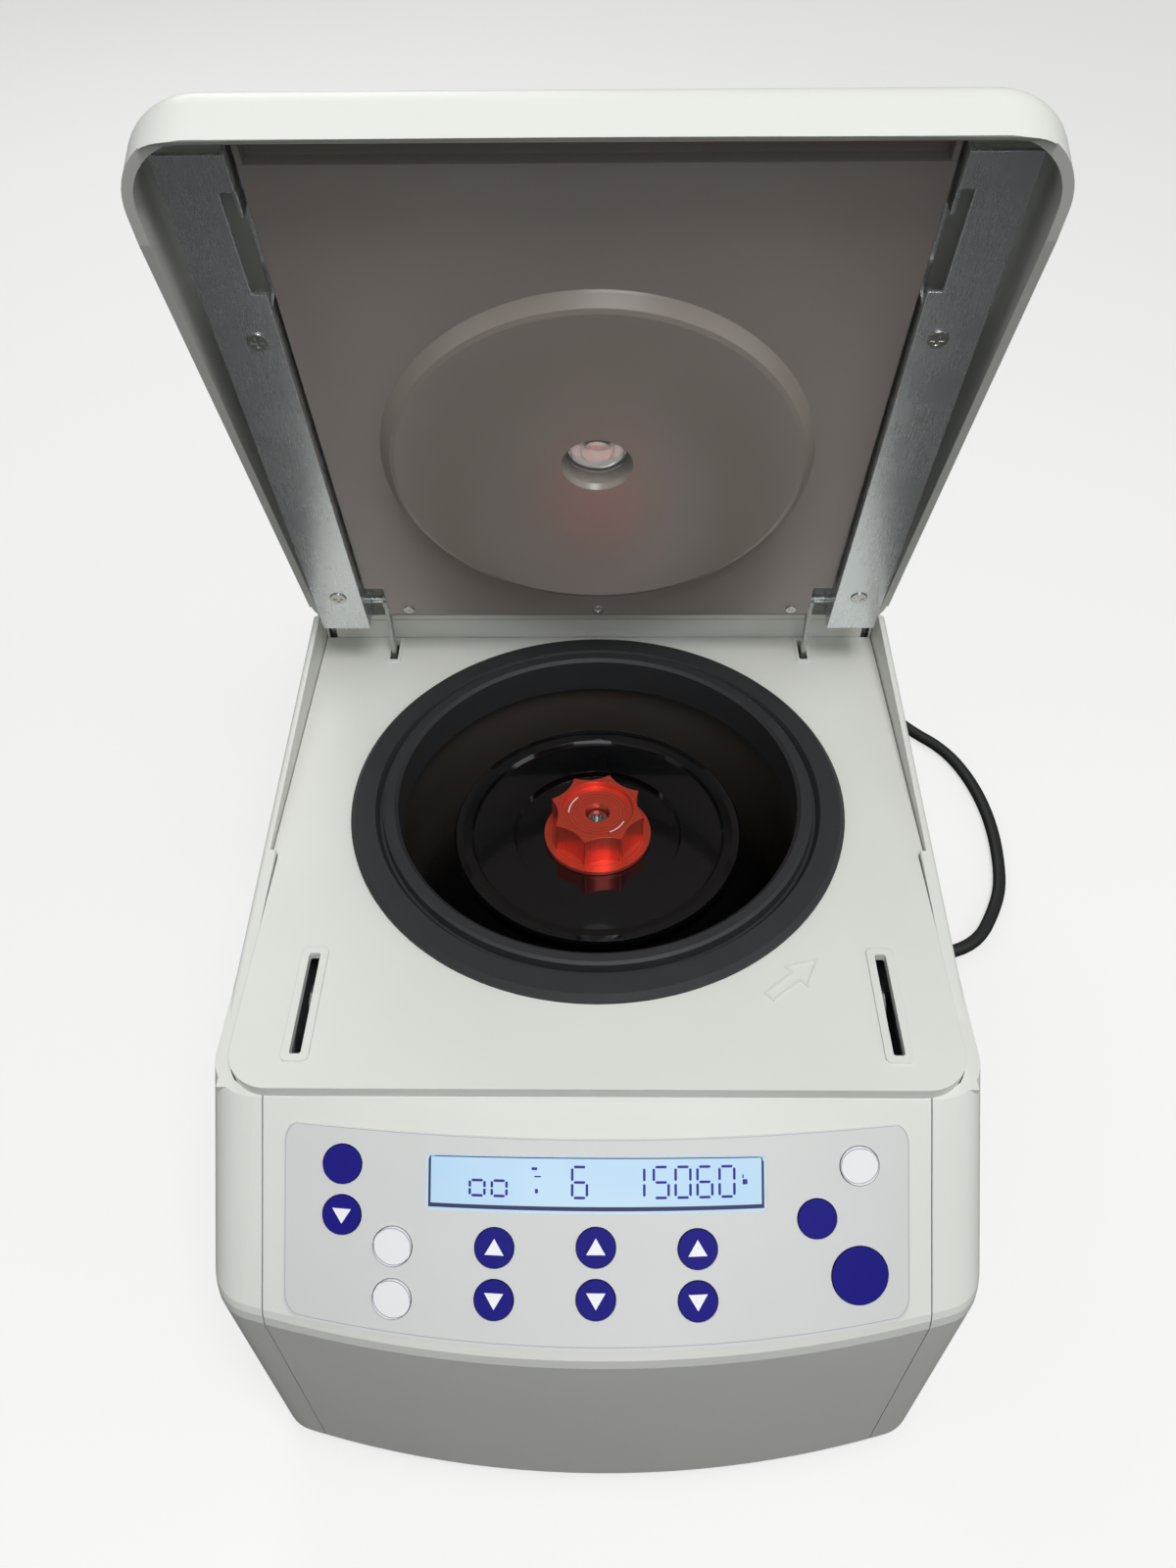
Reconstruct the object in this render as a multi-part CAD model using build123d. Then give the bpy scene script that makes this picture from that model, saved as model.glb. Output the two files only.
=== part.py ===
from build123d import *
import math
import os

os.makedirs("parts", exist_ok=True)

# Refrigerated bench microcentrifuge with its lid open. Everything is drawn in
# millimetres about the rotor axis, with Z = 0 on top of the deck, X to the right
# and Y to the rear. save() moves each piece to the part's own frame, whose origin
# is on the bench, under the middle of the housing.

# Housing
width = 290.0
depth = 480.0
deckHeight = 213.0
frontReach = 222.0
footHeight = 8.0
wall = 3.5
frontWall = 2.5
plate = 1.5
gap = 0.4
sideRise = 0.105
sideLevel = 6.5
panelTop = -5.5
ridgeLevel = -63.0
ridgeBulge = 15.0
ridgeHalfSpan = width / 2 - 21.0
ridgeRadius = 9.0
ridgeRun = 74.5
cornerRadius = 18.0
rearCorner = 10.0
seamX = width / 2 - 21.5
edgeRound = 5.0
rearTopLevel = 46.0
capFront = 131.0
troughTop = 39.5
capRound = 10.0
capFrontRound = 3.5
half = width / 2
rearReach = depth - frontReach
floorLevel = -deckHeight
baseLevel = floorLevel + footHeight

# Deck
deckThick = 3.0
plateauFront = 147.2
plateauHalf = half - 6.4
plateauCorner = 17.0
plateauStart = -34.0
deckRear = 114.9
linerHalf = half - 34.8
slotX = linerHalf + 3.1
slotWidth = 4.4
slotFront = -133.0
slotRear = -87.0
bezelMargin = 3.1
bezelHeight = 0.75
linkSlotFront = 96.5
linkSlotRear = 111.8
stepTop = 11.2
arrowX = 78.0
arrowY = -98.0

# Chamber
bowlRadius = 93.5
chamberHole = bowlRadius + 14.5
gasketOuter = chamberHole + 2.5
gasketTop = 4.0
lipTop = 6.0
lipInner = bowlRadius - 4.2
lipOuter = bowlRadius + 3.0
grooveOuter = bowlRadius + 6.0
bowlTop = -13.0
bowlBottom = -106.0
bowlWall = 1.2
bowlCorner = 18.0
bossHole = 9.0
coilTube = 9.0
coilTurns = 7
foamThick = 14.0
foamFloor = 17.0

# Rotor
rotorTop = -24.5
rotorClear = 7.5
rotorRadius = bowlRadius - rotorClear
rotorTopRadius = rotorRadius - 20.0
rotorWide = -63.0
rotorBottom = -92.0
tubeCount = 24
tubeRadius = 5.6
tubeDepth = 38.0
tubePitchRadius = rotorTopRadius - 15.0
tubeTilt = 45.0
lidRim = -20.0
lidRimRadius = rotorTopRadius + 0.5
lidRimWidth = 9.0
lidAnnulus = -22.5
lidDish = -25.5
lidDishRadius = 39.0
rotorLidThick = 2.6
flangeRadius = 24.8
flangeThick = 2.2
knobRadius = 21.7
knobHeight = 16.0
knobLobes = 8
knobTurned = 7.5
knobScoop = 3.5
knobRecess = 3.0
knobRecessRadius = 16.5
knobHole = 5.6
nutRadius = 4.6
shaftRadius = 6.0
spinGap = 0.05

# Lid
openAngle = 72.5
pivotY = 116.5
pivotZ = 29.3
lidGap = 0.8
lidHeight = 26.0
lidFrontY = 152.8
lidWall = 3.5
lidCorner = 28.0
lidRound = 11.0
wellGap = 1.1
wellThick = 2.0
linerLevel = 6.4
linerThick = 2.0
linerFront = -141.0
linerRear = 105.0
linerStep = 7.0
linerStepY = -134.0
discRadius = lipInner - 1.7
discFaceRadius = discRadius - 4.1
discDrop = 5.5
windowRadius = 13.2
windowY = -6.0
windowDepth = 9.0
railInner = linerHalf + 1.1
railOuter = half - 11.0
railLevel = 1.0
railFront = -141.0
railRear = 109.0
railFlange = 11.0
notchOuter = railInner + 5.1
notchFront = -128.5
notchRear = -90.0
railScrews = ((railInner + 8.2, -70.0), (railInner + 10.7, 84.0))
earRadius = 6.5
pinRadius = 3.0
bracketX = half - 6.8
bracketThick = 2.4
linkX = linerHalf - 5.7
linkThick = 2.0
linkWidth = 5.0
linkTopY = 101.8
linkTopZ = 34.8
linkLength = 88.0
studRadius = 2.0

# Gas springs and latch
rodRadius = 3.0
springRadius = 8.0
springTravel = 18.0
openPivotGap = 1.3
crossPinRadius = 1.5
latchPivotY = -45.0
latchPivotZ = -25.0
latchThick = 2.6
latchPin = 2.5
latchSwing = 18.0
hookTop = 8.7
latchBar = 3.0

# Keypad, with each key's X and its distance down the slope from the panel's top edge
overlayThick = 0.35
overlayHalf = 115.5
overlayTopSide = 9.8
overlayTopMiddle = 14.7
overlayBottom = 89.0
overlayCorner = 5.0
keyRadius = 7.1
bigKeyRadius = 10.4
keyRise = 0.9
keyDepth = 2.2
keyGap = 0.35
displayHalf = 62.2
displayLevel = -14.0
boardLevel = -18.0
boardMiddle = 48.0
boardPostPlaces = ((-78.0, 22.0), (78.0, 22.0), (-56.0, -26.0), (56.0, -26.0))
displayTop = 21.0
displayBottom = 41.0
keys = {
    "button_menu": (-93.6, 26.2, keyRadius),
    "button_select": (-93.6, 46.0, keyRadius),
    "button_unit": (-74.6, 56.3, keyRadius),
    "button_fast_cool": (-74.6, 75.9, keyRadius),
    "button_time_up": (-37.1, 54.3, keyRadius),
    "button_time_down": (-37.1, 72.8, keyRadius),
    "button_temp_up": (0.0, 53.3, keyRadius),
    "button_temp_down": (0.0, 71.6, keyRadius),
    "button_speed_up": (37.1, 54.3, keyRadius),
    "button_speed_down": (37.1, 72.8, keyRadius),
    "button_open": (96.8, 26.2, keyRadius),
    "button_short": (81.0, 45.6, keyRadius),
    "button_start": (96.6, 68.9, bigKeyRadius),
}

# Rear
inletX = 100.0
inletZ = baseLevel + 45.0
inletWidth = 50.0
inletHeight = 29.0
switchX = 56.0
fanX = -55.0
fanZ = baseLevel + 95.0
fanRadius = 52.0
condenserInset = 53.0
condenserY = rearReach - condenserInset
compressorX = 60.0
compressorInset = 82.0
compressorY = rearReach - compressorInset
compressorRadius = 43.0
screwX = half - 9.0
screwTop = -30.0
screwLevels = (baseLevel + 15.0, (baseLevel + 15.0 + screwTop) / 2, screwTop)

# Mains lead
leadRadius = 4.0
leadFloor = floorLevel + leadRadius + 0.02
coilX = -10.0
coilY = 335.0
coilRadii = (48.0, 43.5, 39.0, 34.5)
coilInner = 30.0
layerRise = 8.6
connectorLength = 50.0
plugHeight = 12.6


rimSlope = math.atan(sideRise)
pivotAbove = (pivotZ - sideLevel - lidGap - sideRise * pivotY) * math.cos(rimSlope)
lidEndRadius = lidHeight - pivotAbove


def box(x0, x1, y0, y1, z0, z1):
    centre = ((x0 + x1) / 2, (y0 + y1) / 2, (z0 + z1) / 2)
    return Pos(*centre) * Box(abs(x1 - x0), abs(y1 - y0), abs(z1 - z0))


def post(x, y, radius, z0, z1):
    return Pos(x, y, (z0 + z1) / 2) * Cylinder(radius, abs(z1 - z0))


def barX(y, z, radius, x0, x1):
    return Pos((x0 + x1) / 2, y, z) * Rot(0, 90, 0) * Cylinder(radius, abs(x1 - x0))


def barY(x, z, radius, y0, y1):
    return Pos(x, (y0 + y1) / 2, z) * Rot(90, 0, 0) * Cylinder(radius, abs(y1 - y0))


def prismX(points, x0, x1):
    # an outline in the YZ plane, carried from x0 to x1
    face = make_face(Polyline([(0, y, z) for y, z in points], close=True))
    return Pos(min(x0, x1), 0, 0) * extrude(face, abs(x1 - x0), dir=(1, 0, 0))


def turned(points):
    # an outline of (radius, height) points, turned about the rotor axis
    face = make_face(Polyline([(r, 0, z) for r, z in points], close=True))
    return revolve(face, Axis.Z)


def ring(inner, outer, z0, z1):
    return turned([(inner, z0), (outer, z0), (outer, z1), (inner, z1)])


def mirrored(shape):
    return mirror(shape, Plane.YZ)


def opened(shape):
    # from the closed lid to the open one
    hinge = Axis((0, pivotY, pivotZ), (1, 0, 0))
    return shape.rotate(hinge, -openAngle)


def save(shape, name):
    moved = Pos(0, frontReach - depth / 2, deckHeight) * shape
    export_step(moved, "parts/" + name + ".step")


# Housing outline

panelFall = panelTop - ridgeLevel
panelSlope = math.atan2(panelFall, ridgeRun)
ridgeReach = ridgeRadius * math.tan((math.pi / 2 - panelSlope) / 2)


def frontShift(z):
    # how far the middle of the front lies behind the ridge at a height
    fall = z - ridgeLevel
    if fall > ridgeReach * math.sin(panelSlope):
        return ridgeRun / panelFall * fall
    if fall > -ridgeReach:
        return ridgeRadius - math.sqrt(ridgeRadius ** 2 - (fall + ridgeReach) ** 2)
    return 0.0


def planFace(z, inset, frontInset):
    # the housing's outline at a height, with its front bowed more the lower it is
    middle = -frontReach + frontShift(z) + frontInset
    bulge = ridgeBulge * min(1.0, (panelTop - z) / panelFall)
    x = half - inset
    rear = rearReach - inset
    if bulge < 0.01:
        side = middle
        front = Line((-x, side), (x, side))
    else:
        arc = (ridgeHalfSpan ** 2 + bulge ** 2) / (2 * bulge)
        side = middle + arc - math.sqrt(arc ** 2 - x ** 2)
        front = ThreePointArc((-x, side), (0, middle), (x, side))
    rest = Polyline((x, side), (x, rear), (-x, rear), (-x, side))
    face = make_face([front, rest])
    face = fillet(face.vertices().sort_by(Axis.Y)[:2], cornerRadius - inset)
    face = fillet(face.vertices().sort_by(Axis.Y)[-2:], rearCorner - inset)
    return Pos(0, 0, z) * face


def housingSolid(inset, frontInset, low, high):
    foot = ridgeLevel - ridgeReach
    levels = [panelTop, ridgeLevel + ridgeReach * math.sin(panelSlope), ridgeLevel, foot]
    sections = [planFace(z, inset, frontInset).face() for z in levels]
    body = Solid.make_loft([s.outer_wire() for s in sections], ruled=True)
    upper = extrude(sections[0], high - panelTop, dir=(0, 0, 1))
    lower = extrude(sections[-1], foot - low, dir=(0, 0, -1))
    return body + upper + lower


def layer(outward, inward):
    # a skin along the control panel, from one distance outside it to another inside
    share = 1 / math.sin(panelSlope)
    skin = housingSolid(-outward, -outward * share, -90, 5)
    return skin - housingSolid(inward, inward * share, -95, 10)


def sideTop(y):
    return max(sideLevel + sideRise * y, panelTop)


def aboveSides(drop):
    # all that lies above the top line of the side walls
    flatEnd = (panelTop - sideLevel) / sideRise
    line = [(-300, panelTop - drop), (flatEnd, panelTop - drop)]
    line += [(300, sideLevel + sideRise * 300 - drop), (300, 200), (-300, 200)]
    return prismX(line, -200, 200)


def hingeWell(grow):
    return barX(pivotY, pivotZ, lidEndRadius + wellGap + grow, -half - 5, half + 5)


def behindOpenRim(distance):
    # all that lies behind a plane beside the open lid's rim
    lean = math.radians(90 - openAngle) + rimSlope
    ny, nz = math.cos(lean), math.sin(lean)
    y, z = pivotY - distance * ny, pivotZ - distance * nz
    far = 200
    points = [(y + far * nz, z - far * ny), (y - far * nz, z + far * ny)]
    points += [(py + far * ny, pz + far * nz) for py, pz in points[::-1]]
    return prismX(points, -200, 200)


def plateauFace():
    face = Pos(0, (plateauStart - plateauFront) / 2) * Rectangle(2 * plateauHalf, plateauFront + plateauStart)
    return fillet(face.vertices().sort_by(Axis.Y)[:2], plateauCorner)


# Lower housing


def makeHousing():
    outer = housingSolid(0, 0, baseLevel, 60) - aboveSides(0)
    edges = [
        e
        for e in outer.edges()
        if abs(e.center().X) > half - 1 and e.length > 20 and e.center().Z > panelTop - 0.5
        and e.center().Y < rearReach - 15
    ]
    outer = fillet(edges, 2.5)
    shell = outer - housingSolid(wall, frontWall / math.sin(panelSlope), baseLevel - 5, 60)
    x = half - wall
    shell -= box(-x, x, rearReach - 8, rearReach + 2, baseLevel - 1, 80)
    shell -= hingeWell(0) & behindOpenRim(lidEndRadius - 5.6)
    front = shell & box(-seamX, seamX, -frontReach - 5, -100, baseLevel - 1, panelTop + 1)
    side = shell & box(seamX + gap, half + 5, -frontReach - 5, rearReach + 5, baseLevel - 1, 80)
    flatEnd = (panelTop - sideLevel) / sideRise
    line = [(-143.6, panelTop), (flatEnd, panelTop), (plateauStart, sideTop(plateauStart))]
    ledge = prismX(line + [(y, z - 2.5) for y, z in line[::-1]], seamX + gap, x + 0.5)
    side += ledge - extrude(offset(plateauFace(), gap), 60, dir=(0, 0, 1), both=True)
    flange = box(screwX - 5, x + 0.1, rearReach - 8.5, rearReach - 6.4, baseLevel + 10, sideTop(rearReach) - 8)
    for z in screwLevels:
        flange -= barY(screwX, z, 1.45, rearReach - 10, rearReach)
    return front, side + flange


# Deck and rear cover


def makeDeck():
    rearHalf = half - wall - gap
    front = plateauFace()
    rear = Pos(0, (plateauStart + deckRear) / 2) * Rectangle(2 * rearHalf, deckRear - plateauStart)
    deck = extrude(front + rear, deckThick, dir=(0, 0, -1))
    skirt = extrude(front - offset(front, -2.5), -panelTop - 0.02, dir=(0, 0, -1))
    deck += skirt & box(-200, 200, -200, plateauStart - 8, -30, 0)
    deck -= post(0, 0, chamberHole, -10, 10)
    for side in (-1, 1):
        middle = (slotFront + slotRear) / 2
        long = slotRear - slotFront
        rim = RectangleRounded(slotWidth + 2 * bezelMargin, long + 2 * bezelMargin, 2.5)
        deck += extrude(Pos(side * slotX, middle, 0) * rim, bezelHeight)
        slot = RectangleRounded(slotWidth, long, 1.0)
        deck -= extrude(Pos(side * slotX, middle, -20) * slot, 30)
        x = side * linkX
        inner = linkThick / 2 + 1.0
        outer = inner + 1.6
        deck += box(x - outer, x + outer, linkSlotFront - 1.6, linkSlotRear + 1.6, -1, bezelHeight)
        deck -= box(x - inner, x + inner, linkSlotFront, linkSlotRear, -10, 5)
    return deck + makeArrow()


def makeArrow():
    # the raised outline of an arrow that points to the right rear
    points = [(-14, -2.6), (1, -2.6), (1, -6.5), (14, 0), (1, 6.5), (1, 2.6), (-14, 2.6)]
    outline = make_face(Polyline(points, close=True))
    band = outline - offset(outline, -0.8, kind=Kind.INTERSECTION)
    return Pos(arrowX, arrowY, -0.1) * Rot(0, 0, 40) * extrude(band, 0.45)


def makeRearCover():
    # the cap behind the hinge, with the trough that the lid's rounded end turns in
    x = half - wall - gap
    outer = extrude(planFace(panelTop, 0, 0), rearTopLevel - panelTop, dir=(0, 0, 1))
    outer = outer & box(-half - 1, half + 1, capFront, rearReach + 1, -50, 200)
    tops = outer.edges().filter_by(lambda e: e.center().Z > rearTopLevel - 0.1)
    outer = fillet(tops.filter_by(lambda e: e.center().Y > capFront + 1), capRound)
    tops = outer.edges().filter_by(
        lambda e: e.center().Z > rearTopLevel - 0.1 and e.center().Y < capFront + 0.1
    )
    outer = fillet(tops, capFrontRound)
    inner = extrude(planFace(panelTop, wall, wall), rearTopLevel - wall - panelTop, dir=(0, 0, 1))
    inner -= box(-half, half, -300, capFront + 3, troughTop - 1, 100)
    sides = box(-200, 200, -300, 300, -100, 200) - aboveSides(-gap)
    cap = outer - inner - sides
    trough = hingeWell(wellThick) & box(-x, x, pivotY + 0.5, pivotY + 40, 0, troughTop)
    step = box(-x, x, deckRear + gap, deckRear + 2.6, -deckThick, stepTop)
    floor = box(-x, x, deckRear + 2, pivotY + 6, stepTop - 2.5, stepTop + 1.5)
    cover = cap + trough + step + floor - hingeWell(0)
    for side in (-1, 1):
        x = side * bracketX
        slot = bracketThick / 2 + 0.8
        cover -= box(x - slot, x + slot, pivotY - 5, pivotY + 15.6, -10, pivotZ + 2)
    return cover


def makeRearPanel():
    x = half - wall - gap
    y = rearReach - 6
    panel = box(-x, x, y, y + 2, baseLevel + 2.4, sideTop(y) - 2)
    y0, y1 = y - 1, y + 3
    wide, high = inletWidth / 2, inletHeight / 2
    panel -= box(inletX - wide, inletX + wide, y0, y1, inletZ - high, inletZ + high)
    panel -= box(switchX - 11.2, switchX + 11.2, y0, y1, inletZ - high, inletZ + high)
    rows = 11
    for row in range(rows):
        z = fanZ + (row - (rows - 1) / 2) * 9.5
        reach = math.sqrt((fanRadius + 4) ** 2 - (z - fanZ) ** 2)
        panel -= box(fanX - reach, fanX + reach, y0, y1, z - 2.2, z + 2.2)
    for row in range(5):
        z = -30 - row * 8.0
        panel -= box(20, 120, y0, y1, z - 2, z + 2)
    for side in (-1, 1):
        for z in screwLevels:
            panel -= barY(side * screwX, z, 1.6, y0, y1)
    return panel


def makeHousingScrews():
    screws = []
    y = rearReach - 4
    for side in (-1, 1):
        for z in screwLevels:
            screw = barY(side * screwX, z, 3.2, y + 0.02, y + 1.8)
            screws.append(screw + barY(side * screwX, z, 1.4, y - 8, y + 0.1))
    return Compound(screws)


def makeBasePan():
    front = frontWall / math.sin(panelSlope) + gap
    floor = extrude(planFace(ridgeLevel - 20, wall + gap, front), 2.0, dir=(0, 0, 1))
    lip = extrude(planFace(ridgeLevel - 20, wall + gap, front), 14.0, dir=(0, 0, 1))
    lip -= extrude(planFace(ridgeLevel - 20, wall + gap + plate, front + plate), 20, dir=(0, 0, 1))
    pan = Pos(0, 0, baseLevel - ridgeLevel + 20) * (floor + lip)
    pan -= box(-200, 200, rearReach - 9, rearReach + 2, baseLevel + 2, baseLevel + 30)
    for row in range(7):
        y = condenserY - 55 + row * 12
        pan -= box(-110, -20, y - 2, y + 2, baseLevel - 1, baseLevel + 5)
    return pan


def makeFeet():
    feet = []
    outline = [(0, floorLevel), (11, floorLevel), (13, floorLevel + 2), (12, baseLevel), (0, baseLevel)]
    for x in (-112, 112):
        for y in (-175, 222):
            feet.append(Pos(x, y, 0) * turned(outline))
    return Compound(feet)


# Cooled chamber


def makeGasket():
    seat = chamberHole - 0.5
    return turned(
        [
            (seat, -4),
            (seat, 0),
            (gasketOuter, 0),
            (gasketOuter, 1.6),
            (gasketOuter - 2.2, gasketTop),
            (grooveOuter, gasketTop),
            (lipOuter + 1.2, 1.2),
            (lipOuter, 1.2),
            (lipOuter - 0.6, lipTop - 0.8),
            (lipOuter - 2, lipTop),
            (lipInner + 1.6, lipTop),
            (lipInner, lipTop - 1.4),
            (lipInner, bowlTop),
            (bowlRadius + 8, bowlTop),
            (bowlRadius + 8, -4),
        ]
    )


def bowlProfile(skin):
    # one skin of the bowl, from under its rim to the hole round the shaft
    r = bowlRadius + skin
    bottom = bowlBottom - skin
    corner = bowlCorner + skin
    points = [(r, bottom + corner)]
    for step in range(1, 7):
        turn = math.radians(90 * step / 6)
        points.append((r - corner + corner * math.cos(turn), bottom + corner - corner * math.sin(turn)))
    points.append((bossHole, bottom))
    return points


def makeBowl():
    low = bowlTop - bowlWall
    rim = [(bowlRadius + bowlWall, low), (bowlRadius + 7, low), (bowlRadius + 7, bowlTop), (bowlRadius, bowlTop)]
    return turned(rim + bowlProfile(0) + bowlProfile(bowlWall)[::-1])


def makeCoil():
    # flattened tube, wound on the bowl and soldered to it
    base = bowlRadius + bowlWall + 0.02
    top = bowlTop - 8
    points = [(base, top)]
    for turn in range(coilTurns):
        low = top - turn * coilTube
        for step in range(1, 5):
            angle = math.radians(180 * step / 4)
            z = low - coilTube / 2 + coilTube / 2 * math.cos(angle)
            points.append((base + 1.0 + 4.8 * math.sin(angle), z))
    points.append((base, top - coilTurns * coilTube))
    return turned(points)


def makeFoam():
    inner = bowlRadius + bowlWall + 7.0
    outer = inner + foamThick
    top = bowlTop - bowlWall - 0.2
    floor = bowlBottom - bowlWall - 0.3
    low = floor - foamFloor
    return turned(
        [
            (inner, top),
            (inner, floor),
            (bossHole + 3, floor),
            (bossHole + 3, low),
            (outer - 12, low),
            (outer, low + 12),
            (outer, top),
        ]
    )


# Drive

mountTop = bowlBottom - bowlWall - 0.3 - foamFloor - 0.3
motorTop = mountTop - 4
motorLow = baseLevel + 14.2


def makeMotorMount():
    mount = box(-118, 118, -70, 70, motorTop, mountTop)
    mount -= post(0, 0, bossHole + 3, motorTop - 10, mountTop + 10)
    for x in (-108, 108):
        for y in (-58, 58):
            mount += post(x, y, 6, baseLevel + 2.02, motorTop)
    return mount


def makeMotor():
    bore = shaftRadius + spinGap
    low = motorLow
    body = turned(
        [
            (bore, low),
            (44, low),
            (46, low + 2),
            (46, motorTop - 6),
            (40, motorTop - 0.02),
            (bore, motorTop - 0.02),
        ]
    )
    for step in range(24):
        body += Rot(0, 0, 15 * step) * box(45, 49, -1, 1, low + 8, motorTop - 12)
    return body


def makeShaft():
    seat = rotorBottom - 0.02
    return turned(
        [
            (0, motorLow + 4),
            (shaftRadius, motorLow + 4),
            (shaftRadius, bowlBottom + 6),
            (shaftRadius + 6, bowlBottom + 6),
            (shaftRadius + 6, seat),
            (4.6, seat),
            (3.4, rotorBottom + 21.9),
            (0, rotorBottom + 21.9),
        ]
    )


def makeRotor():
    body = turned(
        [
            (8.5, rotorBottom),
            (rotorRadius - 28, rotorBottom),
            (rotorRadius - 3, rotorWide - 8),
            (rotorRadius, rotorWide - 3),
            (rotorRadius, rotorWide),
            (rotorRadius - 2, rotorWide + 4),
            (rotorTopRadius, rotorTop - 3),
            (rotorTopRadius, rotorTop),
            (rotorTopRadius - 4, rotorTop),
            (rotorTopRadius - 28, rotorTop - 24),
            (14, rotorTop - 24),
            (12, rotorTop - 5),
            (0, rotorTop - 5),
            (0, rotorBottom + 22),
            (3.45, rotorBottom + 22),
            (4.65, rotorBottom + 2),
            (8.5, rotorBottom + 2),
        ]
    )
    mouth = rotorTop - (rotorTopRadius - 4 - tubePitchRadius)
    for step in range(tubeCount):
        place = Pos(tubePitchRadius, 0, mouth) * Rot(0, 180 - tubeTilt, 0) * Pos(0, 0, tubeDepth / 2 - 6)
        body -= Rot(0, 0, 360 * step / tubeCount) * place * Cylinder(tubeRadius, tubeDepth + 12)
    return body


def makeRotorLid():
    rim = lidRimRadius
    inner = rim - lidRimWidth
    under = lidAnnulus - rotorLidThick
    return turned(
        [
            (nutRadius + 0.4, lidDish - rotorLidThick),
            (nutRadius + 0.4, lidDish),
            (lidDishRadius - 1, lidDish),
            (lidDishRadius, lidAnnulus),
            (inner, lidAnnulus),
            (inner + 1.2, lidRim - 0.6),
            (rim - 4, lidRim),
            (rim - 1, lidRim),
            (rim, lidRim - 1),
            (rim, rotorTop + gap),
            (rim - 5, rotorTop + gap),
            (rim - 8, under),
            (lidDishRadius + 2, under - 0.4),
            (lidDishRadius, lidDish - rotorLidThick),
        ]
    )


def makeKnob():
    base = lidDish + 0.3
    top = base + flangeThick + knobHeight
    scoop = 17.5
    star = post(0, 0, knobRadius, base + flangeThick, top)
    for step in range(knobLobes):
        angle = 360 * step / knobLobes + knobTurned
        star -= Rot(0, 0, angle) * post(knobRadius + scoop - knobScoop, 0, scoop, base + flangeThick, top + 5)
    knob = post(0, 0, flangeRadius, base, base + flangeThick) + star
    knob -= post(0, 0, knobRecessRadius, top - knobRecess, top + 5)
    return knob - post(0, 0, knobHole, base - 1, top + 5)


def makeRotorNut():
    top = lidDish + flangeThick + knobHeight - knobRecess - 3.5
    return post(0, 0, nutRadius, rotorTop - 4.98, top) - post(0, 0, 2.4, top - 4, top + 1)


# Cold circuit and fan


def makeCompressor():
    low = baseLevel + 14
    r = compressorRadius
    can = turned([(0, low), (r - 8, low), (r, low + 8), (r, low + 92), (r - 9, low + 108), (r - 24, low + 116),
                  (0, low + 118)])
    for angle in (0, 90, 180, 270):
        can += Rot(0, 0, angle) * (box(0, 40, -9, 9, low - 2, low + 2) + post(36, 0, 5, baseLevel + 2.02, low))
    return Pos(compressorX, compressorY, 0) * can


def makeCondenser():
    y0, y1 = condenserY - 14, condenserY + 14
    low, high = fanZ - 62, fanZ + 62
    block = box(fanX - 66, fanX - 63, y0, y1, baseLevel + 2.02, high)
    block += box(fanX + 63, fanX + 66, y0, y1, baseLevel + 2.02, high)
    fins = 24
    for n in range(fins):
        z = low + 3 + n * (high - low - 6) / (fins - 1)
        block += box(fanX - 64, fanX + 64, y0, y1, z - 0.5, z + 0.5)
    for x in (-44, -15, 15, 44):
        block += post(fanX + x, condenserY, 4, low - 4, high)
    return block


fanFront = condenserY + 14.3


def makeFanShroud():
    y1 = fanFront + 30
    shroud = box(fanX - 62, fanX + 62, fanFront, y1, fanZ - 62, fanZ + 62)
    shroud -= barY(fanX, fanZ, fanRadius + 3, fanFront - 1, y1 + 1)
    for angle in (45, 135, 225, 315):
        spoke = Rot(0, angle, 0) * box(14, fanRadius + 5, fanFront, fanFront + 4, -2.5, 2.5)
        shroud += Pos(fanX, 0, fanZ) * spoke
    shroud += barY(fanX, fanZ, 17, fanFront, fanFront + 8)
    return shroud + barY(fanX, fanZ, 3, fanFront + 8, y1 - 4)


def makeFan():
    y0 = fanFront + 9
    middle = y0 + 8
    fan = barY(0, 0, 18, y0, y0 + 16)
    blades = 7
    for n in range(blades):
        blade = Pos(33, middle, 0) * Rot(32, 0, 0) * Box(36, 20, 1.6)
        fan += Rot(0, 360 * n / blades, 0) * blade
    return Pos(fanX, 0, fanZ) * (fan - barY(0, 0, 3 + spinGap, y0 - 5, y0 + 30))


# Front panel


def panelPlace(x, s, lift=0.0):
    # a place on the panel with its Z along the outward normal
    z = panelTop - s * math.sin(panelSlope)
    share = (panelTop - z) / panelFall
    bow = ridgeBulge * (x / ridgeHalfSpan) ** 2
    y = -frontReach + ridgeRun / panelFall * (z - ridgeLevel) + bow * share
    lean = math.atan2(panelFall, ridgeRun - bow)
    toe = math.atan2(2 * ridgeBulge * x * share / ridgeHalfSpan ** 2, 1)
    return Pos(x, y, z) * Rot(math.degrees(lean), 0, math.degrees(toe)) * Pos(0, 0, lift)


def heightAt(s):
    return panelTop - s * math.sin(panelSlope)


def throughPanel(face):
    # an outline seen from the front, carried through the panel
    return Pos(0, -100, 0) * Rot(90, 0, 0) * extrude(face, 160)


def overlayFace():
    x = overlayHalf
    low, side, middle = heightAt(overlayBottom), heightAt(overlayTopSide), heightAt(overlayTopMiddle)
    edges = [
        Polyline((-x, side), (-x, low), (x, low), (x, side)),
        ThreePointArc((x, side), (0, middle), (-x, side)),
    ]
    face = make_face(edges)
    return fillet(face.vertices(), overlayCorner)


def displayFace(margin):
    low, high = heightAt(displayBottom), heightAt(displayTop)
    plan = RectangleRounded(2 * (displayHalf + margin), high - low + 1.4 * margin, 1.2)
    return Pos(0, (low + high) / 2) * plan


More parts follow.
